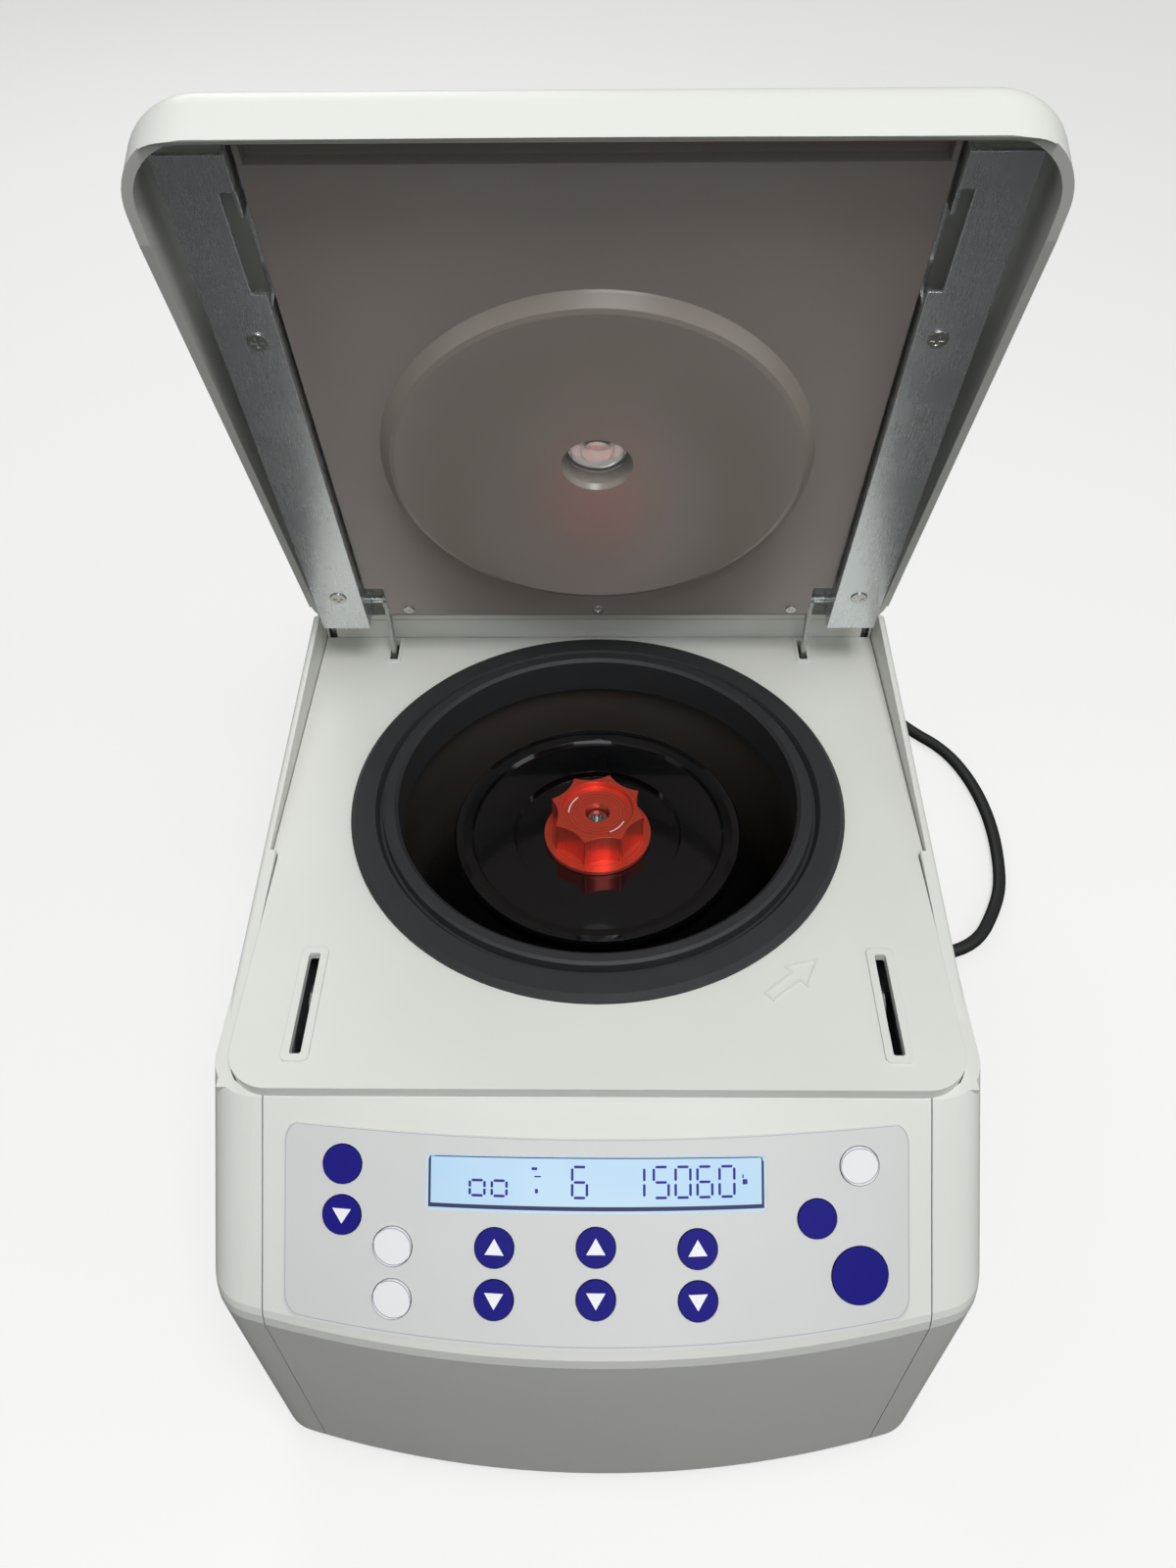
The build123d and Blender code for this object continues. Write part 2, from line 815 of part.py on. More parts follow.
def makeFrontPanel(front):
    front = front - throughPanel(displayFace(-1.5))
    for x, s, radius in keys.values():
        front -= panelPlace(x, s, -10) * Cylinder(radius + keyGap, 40)
    inside = housingSolid(1, 1 / math.sin(panelSlope), -90, 5)
    for one in boardPosts(3, boardLevel + 0.82, 10):
        front += one & inside
    return front


def makeOverlay():
    film = layer(overlayThick, -0.02) & throughPanel(overlayFace())
    for x, s, radius in keys.values():
        film -= panelPlace(x, s) * Cylinder(radius + keyGap, 40)
    return film - throughPanel(displayFace(0.3))


def makeKeys():
    skin = layer(keyRise, keyDepth)
    return {name: skin & (panelPlace(x, s) * Cylinder(r, 20)) for name, (x, s, r) in keys.items()}


def makeWindow():
    return layer(overlayThick - 0.05, -0.02) & throughPanel(displayFace(0))


def makeDisplay():
    # the display stands on the control board
    board = Pos(0, 0, displayLevel) * Box(2 * displayHalf + 10, displayBottom - displayTop + 12, 2)
    screen = Pos(0, 0, displayLevel + 4) * Box(2 * displayHalf - 6, displayBottom - displayTop - 4, 7)
    module = board + screen
    for x in (-60, 60):
        for y in (-12, 12):
            module += Pos(x, y, (displayLevel + boardLevel + 0.8) / 2) * Cylinder(2, displayLevel - boardLevel - 0.8)
    return panelPlace(0, (displayTop + displayBottom) / 2) * module


def boardPosts(radius, low, high):
    place = panelPlace(0, boardMiddle)
    return [place * Pos(x, y, (low + high) / 2) * Cylinder(radius, high - low) for x, y in boardPostPlaces]


def makeControlBoard():
    board = Pos(0, 0, boardLevel) * Box(206, 60, 1.6)
    for x in (-90, -45, 45, 90):
        board += Pos(x, 8, boardLevel - 2) * Box(14, 10, 3.4)
    return panelPlace(0, boardMiddle) * board


def makePowerBoard():
    low = baseLevel + 2.02
    board = box(-100, 30, -195, -130, low + 8, low + 9.6)
    for x in (-94, 24):
        for y in (-189, -136):
            board += post(x, y, 3, low, low + 8.1)
    for x, y, r, h in ((-80, -176, 11, 28), (-52, -176, 11, 28), (-24, -178, 9, 22)):
        board += post(x, y, r, low + 9.5, low + 9.6 + h)
    board += box(-85, -50, -155, -137, low + 9.5, low + 34)
    return board + box(-30, 15, -163, -138, low + 9.5, low + 24)


# Rear inlet and switch

inletFace = rearReach - 4


def makeInlet():
    y0 = inletFace
    body = box(inletX - 23.5, inletX + 23.5, y0 - 28, y0 + 0.1, inletZ - 13.5, inletZ + 13.5)
    body += box(inletX - 28, inletX + 28, y0 + 0.02, y0 + 2.6, inletZ - 17, inletZ + 17)
    body -= box(inletX - 12.4, inletX + 12.4, y0 - 17, y0 + 5, inletZ - 8.4, inletZ + 8.4)
    for x in (-7, 0, 7):
        body += box(inletX + x - 1, inletX + x + 1, y0 - 18, y0 - 3, inletZ - 2, inletZ + 2)
    frame = box(switchX - 14, switchX + 14, y0 + 0.02, y0 + 2.6, inletZ - 17, inletZ + 17)
    frame += box(switchX - 10.8, switchX + 10.8, y0 - 20, y0 + 0.1, inletZ - 13.8, inletZ + 13.8)
    frame -= box(switchX - 9, switchX + 9, y0 - 14, y0 + 5, inletZ - 12, inletZ + 12)
    strip = box(switchX + 13, inletX - 27, y0 + 0.02, y0 + 2.0, inletZ - 17, inletZ + 17)
    pins = barX(y0 - 3, inletZ, 1.5, switchX - 9.5, switchX - 7.4)
    pins += barX(y0 - 3, inletZ, 1.5, switchX + 7.4, switchX + 9.5)
    return body + frame + strip + pins


def makeRocker():
    y0 = inletFace
    points = [(y0 - 8, -8), (y0 + 0.6, -10.6), (y0 + 1.4, 0), (y0 + 3.8, 10.4), (y0 - 6, 9), (y0 - 9, 0)]
    rocker = prismX([(y, inletZ + z) for y, z in points], switchX - 8.4, switchX + 8.4)
    return rocker - barX(y0 - 3, inletZ, 1.5 + spinGap, switchX - 10, switchX + 10)


# Lid


def belowRim(drop):
    level = sideLevel + lidGap + drop
    line = [(-300, level - 300 * sideRise), (300, level + 300 * sideRise), (300, -200), (-300, -200)]
    return prismX(line, -200, 200)


def lidBlock(inset, edgeRound):
    footY = pivotY + pivotAbove * math.sin(rimSlope)
    footZ = pivotZ - pivotAbove * math.cos(rimSlope)
    foot = Pos(0, footY, footZ) * Rot(math.degrees(rimSlope), 0, 0)
    long = (lidFrontY + footY) / math.cos(rimSlope) - inset
    x = half - inset
    plan = Pos(0, -long / 2) * Rectangle(2 * x, long)
    plan = fillet(plan.vertices().sort_by(Axis.Y)[:2], lidCorner - inset)
    high = lidHeight - inset
    block = Pos(0, 0, -12) * extrude(plan, 12 + high)
    tops = block.edges().filter_by(lambda e: e.center().Z > high - 0.1 and e.center().Y < -1)
    block = foot * fillet(tops, edgeRound)
    end = barX(pivotY, pivotZ, lidEndRadius - inset, -x, x)
    end = fillet(end.edges().filter_by(GeomType.CIRCLE), edgeRound)
    return block + end


def lidInnerTop(y):
    # height of the shell's inner face over a point of the closed lid
    return sideLevel + lidGap + sideRise * y + (lidHeight - lidWall) / math.cos(rimSlope)


def makeLidShell():
    shell = lidBlock(0, lidRound) - lidBlock(lidWall, lidRound - lidWall)
    shell -= belowRim(0)
    shell -= housingSolid(-0.8, -0.8 / math.sin(panelSlope), -90, panelTop + 0.8)
    shell -= post(0, windowY, windowRadius - 1.0 + 0.3, 0, 60)
    for side in (-1, 1):
        x = side * bracketX
        slot = bracketThick / 2 + 0.8
        shell -= box(x - slot, x + slot, pivotY, pivotY + 30, 0, pivotZ + 11)
        for px, py in railScrews:
            boss = post(side * px, py, 4.5, railLevel + plate + 0.02, lidInnerTop(py) + 1.5)
            shell += boss - post(side * px, py, 1.6, railLevel, railLevel + 11)
    return shell


def makeLiner():
    low = linerLevel
    x = linerHalf
    liner = box(-x, x, linerStepY, linerRear, low, low + linerThick)
    liner += box(-x, x, linerStepY, linerStepY + linerThick, low, low + linerStep)
    liner += box(-x, x, linerFront, linerStepY + 1, low + linerStep - linerThick, low + linerStep)
    liner += turned(
        [
            (0, low - discDrop),
            (discFaceRadius - 2, low - discDrop),
            (discFaceRadius, low - discDrop + 0.6),
            (discRadius - 0.8, low - 0.8),
            (discRadius, low + 0.4),
            (discRadius, low + linerThick),
            (0, low + linerThick),
        ]
    )
    top = low + linerThick + 1.5
    liner += post(0, windowY, windowRadius + 5, low, top)
    inner = low - discDrop + linerThick
    hollow = post(0, 0, discRadius - 6, inner, low + linerThick + 1)
    liner -= hollow - post(0, windowY, windowRadius + 5, 0, 30)
    liner -= post(0, windowY, windowRadius, 0, 30)
    mouth = Pos(0, windowY, low - discDrop) * Cone(windowRadius + 2.4, windowRadius, 4.8)
    liner -= mouth
    liner += box(-x, x, linerRear - linerThick, linerRear, low, low + 8)
    for side in (-1, 1):
        liner += box(side * (x - linerThick), side * x, linerFront, linerRear, low + 0.2, low + linerStep)
        liner -= box(side * (linkX - 3), side * (x + 2), 84, linerRear + 2, 0, 30)
    for px in (-80, 0, 80):
        for py in (-124, 97):
            liner += post(px, py, 4, low + linerThick - 0.1, lidInnerTop(py) - 0.7)
    return liner


def makeLens():
    low = linerLevel - discDrop + windowDepth - 2.0
    seat = linerLevel + linerThick + 1.52
    r = windowRadius - 0.1
    lens = turned(
        [
            (0, low),
            (r - 7, low),
            (r - 6, low + 0.8),
            (r - 3.4, low + 0.8),
            (r - 2.4, low + 1.4),
            (r, low + 1.4),
            (r, seat),
            (windowRadius + 4, seat),
            (windowRadius + 4, seat + 2),
            (windowRadius - 1.0, seat + 2),
            (windowRadius - 1.0, 31.0),
            (0, 31.0),
        ]
    )
    return Pos(0, windowY, 0) * lens


def makeRail():
    top = railLevel + plate
    rail = box(railInner, railOuter, railFront, railRear, railLevel, top)
    rail += box(railInner, railInner + plate, railFront, railRear, railLevel, railLevel + railFlange)
    rail -= box(railInner - 1, notchOuter, notchFront, notchRear, railLevel - 1, top + 1.5)
    rail -= box(railInner - 1, railInner + plate + 1, notchFront - 1, notchRear + 7, top, hookTop + 1.0)
    points = [
        (railRear - 26, railLevel),
        (railRear, railLevel),
        (pivotY + earRadius - 0.5, pivotZ - 3),
        (pivotY, pivotZ),
        (pivotY - earRadius - 1, pivotZ - 6),
    ]
    ear = prismX(points, railOuter - plate, railOuter)
    ear += barX(pivotY, pivotZ, earRadius, railOuter - plate, railOuter)
    rail += ear - barX(pivotY, pivotZ, pinRadius + spinGap, railOuter - 5, railOuter + 5)
    y, z = closedPoint(linkTopY, linkTopZ)
    points = [(railRear - 20, railLevel), (railRear - 0.5, railLevel), (y + 4.5, z), (y - 4.5, z + 1)]
    tab = prismX(points, railInner, railInner + plate) + barX(y, z, 4.6, railInner, railInner + plate)
    rail += tab + barX(y, z, studRadius, linkX - linkThick / 2 - 1.5, railInner + 0.5)
    for px, py in railScrews:
        rail -= post(px, py, 2.2, -5, 10)
    for py in (-124, 70):
        clip = box(railInner + 0.2, railInner + plate, py - 6, py + 6, railLevel + 2, railLevel + railFlange)
        rail += clip
    return rail


def closedPoint(y, z):
    turn = math.radians(openAngle)
    dy, dz = y - pivotY, z - pivotZ
    return (
        pivotY + dy * math.cos(turn) - dz * math.sin(turn),
        pivotZ + dy * math.sin(turn) + dz * math.cos(turn),
    )


def makeRailScrews():
    screws = []
    for side in (-1, 1):
        for px, py in railScrews:
            head = post(side * px, py, 3.9, railLevel - 0.62, railLevel - 0.02)
            screws.append(head + post(side * px, py, 1.5, railLevel - 0.1, railLevel + 10))
    return Compound(screws)


rodTop = linkTopZ - linkLength - 6


def makeLink(side):
    x = side * linkX
    x0, x1 = x - linkThick / 2, x + linkThick / 2
    foot = linkTopZ - linkLength
    link = box(x0, x1, linkTopY - linkWidth / 2, linkTopY + linkWidth / 2, foot, linkTopZ)
    link += barX(linkTopY, linkTopZ, 4.6, x0, x1)
    link += box(x0, x1, linkTopY - 8, linkTopY + 9, foot - 12, foot + 1)
    high = crossPinRadius + openPivotGap
    link -= box(x0 - 1, x1 + 1, linkTopY - 5.2, linkTopY + 6.2, rodTop - high, rodTop + high)
    return link - barX(linkTopY, linkTopZ, studRadius + spinGap, x0 - 1, x1 + 1)


# Brackets, gas springs and latch


def makeBrackets():
    brackets = []
    y0, y1 = pivotY + 1.6, pivotY + 14
    for side in (-1, 1):
        x = side * bracketX
        x0, x1 = x - bracketThick / 2, x + bracketThick / 2
        points = [(y0, -40), (y1, -40), (y1, pivotZ - 14), (pivotY + 5, pivotZ + 2), (pivotY - 5, pivotZ + 2),
                  (pivotY - 5.5, pivotZ - 4), (y0, pivotZ - 12)]
        arm = prismX(points, x0, x1) + barX(pivotY, pivotZ, earRadius, x0, x1)
        arm += box(x0, x1, y0, y1, baseLevel + 2.02, -39)
        pin = barX(pivotY, pivotZ, pinRadius, side * (railOuter - plate - 1.5), x)
        brackets.append(arm + pin)
    return Compound(brackets)


def makeRods():
    rods = []
    y = linkTopY + 2.5
    for side in (-1, 1):
        x = side * linkX
        fork = box(x - 4, x + 4, y - 3, y + 3, rodTop - 12, rodTop + 4)
        slot = linkThick / 2 + 0.4
        fork -= box(x - slot, x + slot, y - 9, y + 9, rodTop - 8, rodTop + 9)
        rod = fork + post(x, y, rodRadius, rodTop - 92, rodTop - 10)
        rods.append(rod + barX(y, rodTop, crossPinRadius, x - 4, x + 4))
    return Compound(rods)


def makeSprings():
    cylinders = []
    top = rodTop - springTravel - 16
    y = linkTopY + 2.5
    for side in (-1, 1):
        x = side * linkX
        tube = post(x, y, springRadius, baseLevel + 12, top)
        tube -= post(x, y, rodRadius + spinGap, baseLevel + 16, top + 1)
        cylinders.append(tube + box(x - 3, x + 3, y - 6, y + 6, baseLevel + 2.02, baseLevel + 12.1))
    return Compound(cylinders)


def makeLatch():
    # both hooks on one cross bar, drawn engaged and turned back to rest
    hooks = []
    points = [
        (-87.4, railLevel + plate + 0.8),
        (-87.6, railLevel + plate + 2.4),
        (-92, hookTop - 0.5),
        (-97, hookTop),
        (-106, 3),
        (-112, -12),
        (-135, -22),
        (-135, -31),
        (-122, -33),
        (-100, -22),
        (-70, -27),
        (-45, -30),
        (-40, -25),
        (-45, -20),
        (-62, -16),
        (-84, -12),
        (-91.2, -4),
        (-90.8, railLevel + plate + 0.8),
    ]
    for side in (-1, 1):
        x = side * slotX
        hook = prismX(points, x - latchThick / 2, x + latchThick / 2)
        hooks.append(hook - barX(latchPivotY, latchPivotZ, latchPin + spinGap, x - 5, x + 5))
    bar = barX(-130.5, -26.5, latchBar, -slotX, slotX)
    pivot = Axis((0, latchPivotY, latchPivotZ), (1, 0, 0))
    return (hooks[0] + bar + hooks[1]).rotate(pivot, latchSwing)


def makeLatchFrame():
    # two side plates with the hooks' pivots, joined in front of the cross bar
    inner, outer = slotX + 4.1, slotX + 6.1
    frame = box(-outer, outer, -140, -138, -48, -14)
    for side in (-1, 1):
        x0, x1 = side * inner, side * outer
        frame += prismX([(-140, -48), (-35, -48), (-35, -10), (-110, -10), (-140, -14)], x0, x1)
        frame += box(x0, x1, -60, -44, -11, -deckThick - 0.02)
        frame += barX(latchPivotY, latchPivotZ, latchPin, side * (slotX - latchThick / 2 - 0.6), x1)
    return frame


# Mains lead


def leadVertices():
    start = inletFace + connectorLength
    near = coilY - coilRadii[0]
    return [
        (inletX, start, inletZ),
        (inletX, start + 30.0, inletZ),
        (inletX + 17.5, start + 58.0, inletZ - 8),
        (inletX + 48.0, start + 67.0, inletZ - 22),
        (inletX + 77.0, start + 53.0, inletZ - 36),
        (198.7, 310.7, leadFloor),
        (225.0, 268.5, leadFloor),
        (249.5, 246.0, leadFloor),
        (262.5, 212.0, leadFloor),
        (267.0, 172.0, leadFloor),
        (262.5, 128.0, leadFloor),
        (254.0, 103.0, leadFloor),
        (233.5, 70.0, leadFloor),
        (195.0, 62.0, leadFloor),
        (162.0, 82.5, leadFloor),
        (153.8, 121.0, leadFloor),
        (154.4, 152.0, leadFloor),
        (157.5, 205.0, leadFloor),
        (155.0, 254.0, leadFloor),
        (128.8, 280.5, leadFloor),
        (88.0, 281.5, leadFloor),
        (40.0, near, leadFloor),
        (coilX + 2 * leadRadius, near, leadFloor),
    ]


def turnRadii(points):
    radii = []
    vectors = [Vector(*b) - Vector(*a) for a, b in zip(points, points[1:])]
    for before, after in zip(vectors, vectors[1:]):
        turn = math.radians(before.get_angle(after))
        radii.append(0.45 * min(before.length, after.length) / math.tan(turn / 2))
    return radii


def tube(path):
    section = Plane(origin=path @ 0, z_dir=path % 0) * Circle(leadRadius)
    solid = sweep(section, path=path)
    share = solid.volume / (math.pi * leadRadius ** 2 * path.length)
    print("tube length", round(path.length, 1), "volume share", round(share, 4), "valid", solid.is_valid)
    return solid


def makeLead():
    points = leadVertices()
    radii = turnRadii(points)
    print("lead radii", [round(r, 1) for r in radii])
    main = tube(FilletPolyline(*points, radius=radii))
    high = leadFloor + layerRise
    far = coilY + coilRadii[0]
    tail = [(coilX + 2 * leadRadius, far, high), (28.0, far, high), (60.0, far - 12.0, high)]
    return Compound([main, tube(FilletPolyline(*tail, radius=turnRadii(tail)))])


def makeLeadCoil():
    # two flat spirals of half turns, one on the other, joined by a half turn that climbs
    low, high = leadFloor, leadFloor + layerRise
    x = coilX
    y = coilY - coilRadii[0]
    parts = [Line((x + 2 * leadRadius, y, low), (x, y, low))]
    for n, r in enumerate(coilRadii):
        way = 1 if n % 2 == 0 else -1
        parts.append(ThreePointArc((x, y, low), (x - way * r, y + way * r, low), (x, y + way * 2 * r, low)))
        y += way * 2 * r
    reach = math.hypot(coilInner, layerRise / 2)
    middle = (x - reach, y + coilInner, (low + high) / 2)
    parts.append(TangentArc((x, y, low), middle, tangent=(-1, 0, 0)))
    parts.append(TangentArc(middle, (x, y + 2 * coilInner, high), tangent=(0, coilInner, layerRise / 2)))
    y += 2 * coilInner
    for n, r in enumerate(coilRadii[::-1]):
        way = -1 if n % 2 == 0 else 1
        parts.append(ThreePointArc((x, y, high), (x - way * r, y + way * r, high), (x, y + way * 2 * r, high)))
        y += way * 2 * r
    parts.append(Line((x, y, high), (x + 2 * leadRadius, y, high)))
    return tube(Wire([p.edge() for p in parts]))


def makeConnector():
    y0 = inletFace
    body = box(inletX - 14, inletX + 14, y0 + 3, y0 + 28, inletZ - 10.5, inletZ + 10.5)
    body = fillet(body.edges(), 2.5)
    body += box(inletX - 11.8, inletX + 11.8, y0 - 14, y0 + 8, inletZ - 7.8, inletZ + 7.8)
    neck = Pos(inletX, y0 + (26 + connectorLength) / 2, inletZ) * Rot(-90, 0, 0)
    body += neck * Cone(9.0, 5.6, connectorLength - 26)
    for x in (-7, 0, 7):
        body -= box(inletX + x - 1.4, inletX + x + 1.4, y0 - 15, y0 - 1, inletZ - 2.6, inletZ + 2.6)
    return body


def makePlug():
    body = Pos(23, 0, 0) * Box(30, 26, 2 * plugHeight - 0.04)
    body = fillet(body.edges(), 3.5)
    body += Pos(5, 0, 0) * Rot(0, 90, 0) * Cone(5.6, 9, 10)
    for y in (-6.35, 6.35):
        body += Pos(45.5, y, 2.5) * Box(16, 1.5, 6.4)
    body += Pos(46.5, 0, -6.5) * Rot(0, 90, 0) * Cylinder(2.4, 18)
    high = leadFloor + layerRise
    end = Pos(60.0, coilY + coilRadii[0] - 12.0, high)
    return end * Rot(0, 0, math.degrees(math.atan2(-12.0, 32.0))) * body


front, right = makeHousing()
rail = makeRail()
pieces = {
    "side_shell_right": right,
    "side_shell_left": mirrored(right),
    "front_panel": makeFrontPanel(front),
    "deck_cover": makeDeck(),
    "rear_top_cover": makeRearCover(),
    "rear_panel": makeRearPanel(),
    "base_pan": makeBasePan(),
    "feet": makeFeet(),
    "housing_screws": makeHousingScrews(),
    "chamber_gasket": makeGasket(),
    "rotor_chamber": makeBowl(),
    "evaporator_coil": makeCoil(),
    "insulation_foam": makeFoam(),
    "motor_mount": makeMotorMount(),
    "motor_body": makeMotor(),
    "motor_shaft": makeShaft(),
    "rotor_body": makeRotor(),
    "rotor_lid": makeRotorLid(),
    "rotor_knob": makeKnob(),
    "rotor_nut": makeRotorNut(),
    "compressor": makeCompressor(),
    "condenser": makeCondenser(),
    "fan_shroud": makeFanShroud(),
    "fan_rotor": makeFan(),
    "keypad_overlay": makeOverlay(),
    "display_window": makeWindow(),
    "display_module": makeDisplay(),
    "control_board": makeControlBoard(),
    "power_board": makePowerBoard(),
    "power_inlet": makeInlet(),
    "mains_switch": makeRocker(),
    "lid_shell": opened(makeLidShell()),
    "lid_liner": opened(makeLiner()),
    "window_lens": opened(makeLens()),
    "lid_rail_right": opened(rail),
    "lid_rail_left": opened(mirrored(rail)),
    "rail_screws": opened(makeRailScrews()),
    "lid_links": Compound([makeLink(-1), makeLink(1)]),
    "spring_rods": makeRods(),
    "gas_springs": makeSprings(),
    "hinge_brackets": makeBrackets(),
    "latch_hooks": makeLatch(),
    "latch_frame": makeLatchFrame(),
    "cord_lead": makeLead(),
    "cord_coil": makeLeadCoil(),
    "cord_connector": makeConnector(),
    "mains_plug": makePlug(),
}
pieces.update(makeKeys())
for name, shape in pieces.items():
    save(shape, name)
print(len(pieces), "pieces")
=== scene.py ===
import math

import bmesh
import bpy
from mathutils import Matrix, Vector
from mathutils.bvhtree import BVHTree
from mathutils.geometry import tessellate_polygon


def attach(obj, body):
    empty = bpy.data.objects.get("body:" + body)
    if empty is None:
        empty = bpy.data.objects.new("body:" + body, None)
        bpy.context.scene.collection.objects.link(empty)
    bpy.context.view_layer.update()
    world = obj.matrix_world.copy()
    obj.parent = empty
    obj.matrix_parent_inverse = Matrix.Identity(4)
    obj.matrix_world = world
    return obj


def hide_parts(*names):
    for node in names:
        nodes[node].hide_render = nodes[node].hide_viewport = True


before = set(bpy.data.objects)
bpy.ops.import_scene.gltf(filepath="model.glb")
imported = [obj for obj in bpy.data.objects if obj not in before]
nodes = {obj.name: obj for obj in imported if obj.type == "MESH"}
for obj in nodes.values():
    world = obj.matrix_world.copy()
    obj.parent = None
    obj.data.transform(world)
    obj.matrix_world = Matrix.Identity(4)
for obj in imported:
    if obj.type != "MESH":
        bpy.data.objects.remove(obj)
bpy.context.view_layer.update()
print("frame loaded with", len(nodes), "nodes")

# The drawing places everything in mm about the rotor's axis, from the top of the deck
mm = 0.001
deck = {"rotorY": -18.0, "top": 213.0}
hinge = {"y": 116.5, "z": 29.3, "open": 72.5}


def fromDeck(x, y, z):
    return Vector((x, y + deck["rotorY"], z + deck["top"])) * mm


def fromOpenLid(x, y, z):
    # a place measured on the closed lid, carried round the hinge to where the lid stands
    turn = math.radians(-hinge["open"])
    back, up = y - hinge["y"], z - hinge["z"]
    return fromDeck(
        x,
        hinge["y"] + back * math.cos(turn) - up * math.sin(turn),
        hinge["z"] + back * math.sin(turn) + up * math.cos(turn),
    )


# Camera, where the photographer's phone was
camera = {"place": (0.00229, -0.38487, 0.60095), "tilt": (44.0612, 0.4730, 0.5278), "lens": 27.047}
cameraData = bpy.data.cameras.new("camera")
cameraData.lens = camera["lens"]
cameraData.sensor_width = 36.0
cameraData.clip_start = 0.01
cameraObject = bpy.data.objects.new("camera", cameraData)
cameraObject.location = camera["place"]
cameraObject.rotation_euler = [math.radians(a) for a in camera["tilt"]]
bpy.context.collection.objects.link(cameraObject)
bpy.context.scene.camera = cameraObject
bpy.context.scene.view_settings.view_transform = "Standard"


# Material helpers

def linear(code):
    # an sRGB hex colour in the linear values that the shaders use
    values = [int(code[n : n + 2], 16) / 255 for n in (1, 3, 5)]
    return [v / 12.92 if v <= 0.04045 else ((v + 0.055) / 1.055) ** 2.4 for v in values] + [1.0]


def addNode(tree, kind, inputs=None, **settings):
    node = tree.nodes.new(kind)
    for key, value in settings.items():
        setattr(node, key, value)
    for key, value in (inputs or {}).items():
        if isinstance(value, bpy.types.NodeSocket):
            tree.links.new(value, node.inputs[key])
        else:
            node.inputs[key].default_value = value
    return node


def startMaterial(name):
    material = bpy.data.materials.new(name)
    material.use_nodes = True
    material.node_tree.nodes.clear()
    return material, material.node_tree


def endMaterial(tree, shader):
    addNode(tree, "ShaderNodeOutputMaterial", {"Surface": shader})


def grainNoise(tree, size, detail=3.0):
    # noise whose patches are about size mm across
    where = addNode(tree, "ShaderNodeTexCoord").outputs["Object"]
    return addNode(tree, "ShaderNodeTexNoise", {
        "Vector": where, "Scale": 1 / (size * mm), "Detail": detail,
    })


def twoTones(tree, fac, dark, light):
    mix = addNode(tree, "ShaderNodeMix", {"Factor": fac}, data_type="RGBA")
    mix.inputs[6].default_value = linear(dark)
    mix.inputs[7].default_value = linear(light)
    return mix.outputs[2]


def bumpFrom(tree, height, depth, edge=0.0):
    # a bumped normal, over edges that catch the light as if they were rounded by edge mm
    inputs = {"Height": height, "Distance": depth * mm}
    if edge:
        bevel = addNode(tree, "ShaderNodeBevel", {"Radius": edge * mm}, samples=4)
        inputs["Normal"] = bevel.outputs["Normal"]
    return addNode(tree, "ShaderNodeBump", inputs).outputs["Normal"]


def glossFrom(tree, value, rough, spread):
    # roughness that follows a pattern's value, spread either way about rough
    gloss = addNode(tree, "ShaderNodeMapRange", {
        "Value": value, "To Min": rough - spread, "To Max": rough + spread,
    })
    return gloss.outputs["Result"]


def plainFinish(name, look):
    # a moulded, painted or cast skin: two near tones in broad patches, and a fine even grain
    material, tree = startMaterial(name)
    patches = grainNoise(tree, look.get("patch", 45.0), 2.0)
    grain = grainNoise(tree, look["grain"], 4.0)
    inputs = {
        "Base Color": twoTones(tree, patches.outputs["Fac"], look["dark"], look["light"]),
        "Roughness": glossFrom(tree, grain.outputs["Fac"], look["rough"], 0.04),
        "Normal": bumpFrom(tree, grain.outputs["Fac"], look["depth"], look.get("edge", 0.0)),
    }
    inputs.update(look.get("more", {}))
    endMaterial(tree, addNode(tree, "ShaderNodeBsdfPrincipled", inputs).outputs["BSDF"])
    return material


# Plastics
# ABS moulded in a fine spark-eroded tool: satin, with grain that only shows as soft gloss
housingAbs = plainFinish("spark_grained_abs", {
    "dark": "#D6D8D1", "light": "#DCDDD7", "grain": 0.7, "depth": 0.012, "rough": 0.42, "edge": 0.35,
    "more": {"IOR": 1.53},
})
# vacuum-formed polystyrene: smooth and a little wavy, warm grey
linerSheet = plainFinish("vacuum_formed_polystyrene", {
    "dark": "#948B84", "light": "#9B928B", "grain": 2.5, "depth": 0.02, "rough": 0.34, "edge": 0.6,
    "more": {"IOR": 1.58},
})
# keys moulded in clear-coated blue and white ABS
blueKey = plainFinish("blue_moulded_abs", {
    "dark": "#110C74", "light": "#161080", "grain": 0.5, "depth": 0.01, "rough": 0.5, "edge": 0.3,
    "more": {"IOR": 1.3},
})
whiteKey = plainFinish("white_moulded_abs", {
    "dark": "#E3E4E6", "light": "#E9EAEC", "grain": 0.5, "depth": 0.01, "rough": 0.45, "edge": 0.3,
})
# polyester film printed silver-white on its back: even, with a fine embossed grain
overlayFilm = plainFinish("embossed_polyester_film", {
    "dark": "#CACDCA", "light": "#D0D3D1", "grain": 0.45, "depth": 0.008, "rough": 0.36,
    "more": {"IOR": 1.55},
})
nylonBlack = plainFinish("black_glass_filled_nylon", {
    "dark": "#17181A", "light": "#1D1E20", "grain": 0.8, "depth": 0.015, "rough": 0.5,
})
cordPvc = plainFinish("matte_cord_pvc", {
    "dark": "#131415", "light": "#1A1B1C", "grain": 0.6, "depth": 0.02, "rough": 0.55,
})
footRubber = plainFinish("moulded_foot_rubber", {
    "dark": "#161617", "light": "#1C1C1D", "grain": 0.8, "depth": 0.03, "rough": 0.75,
})
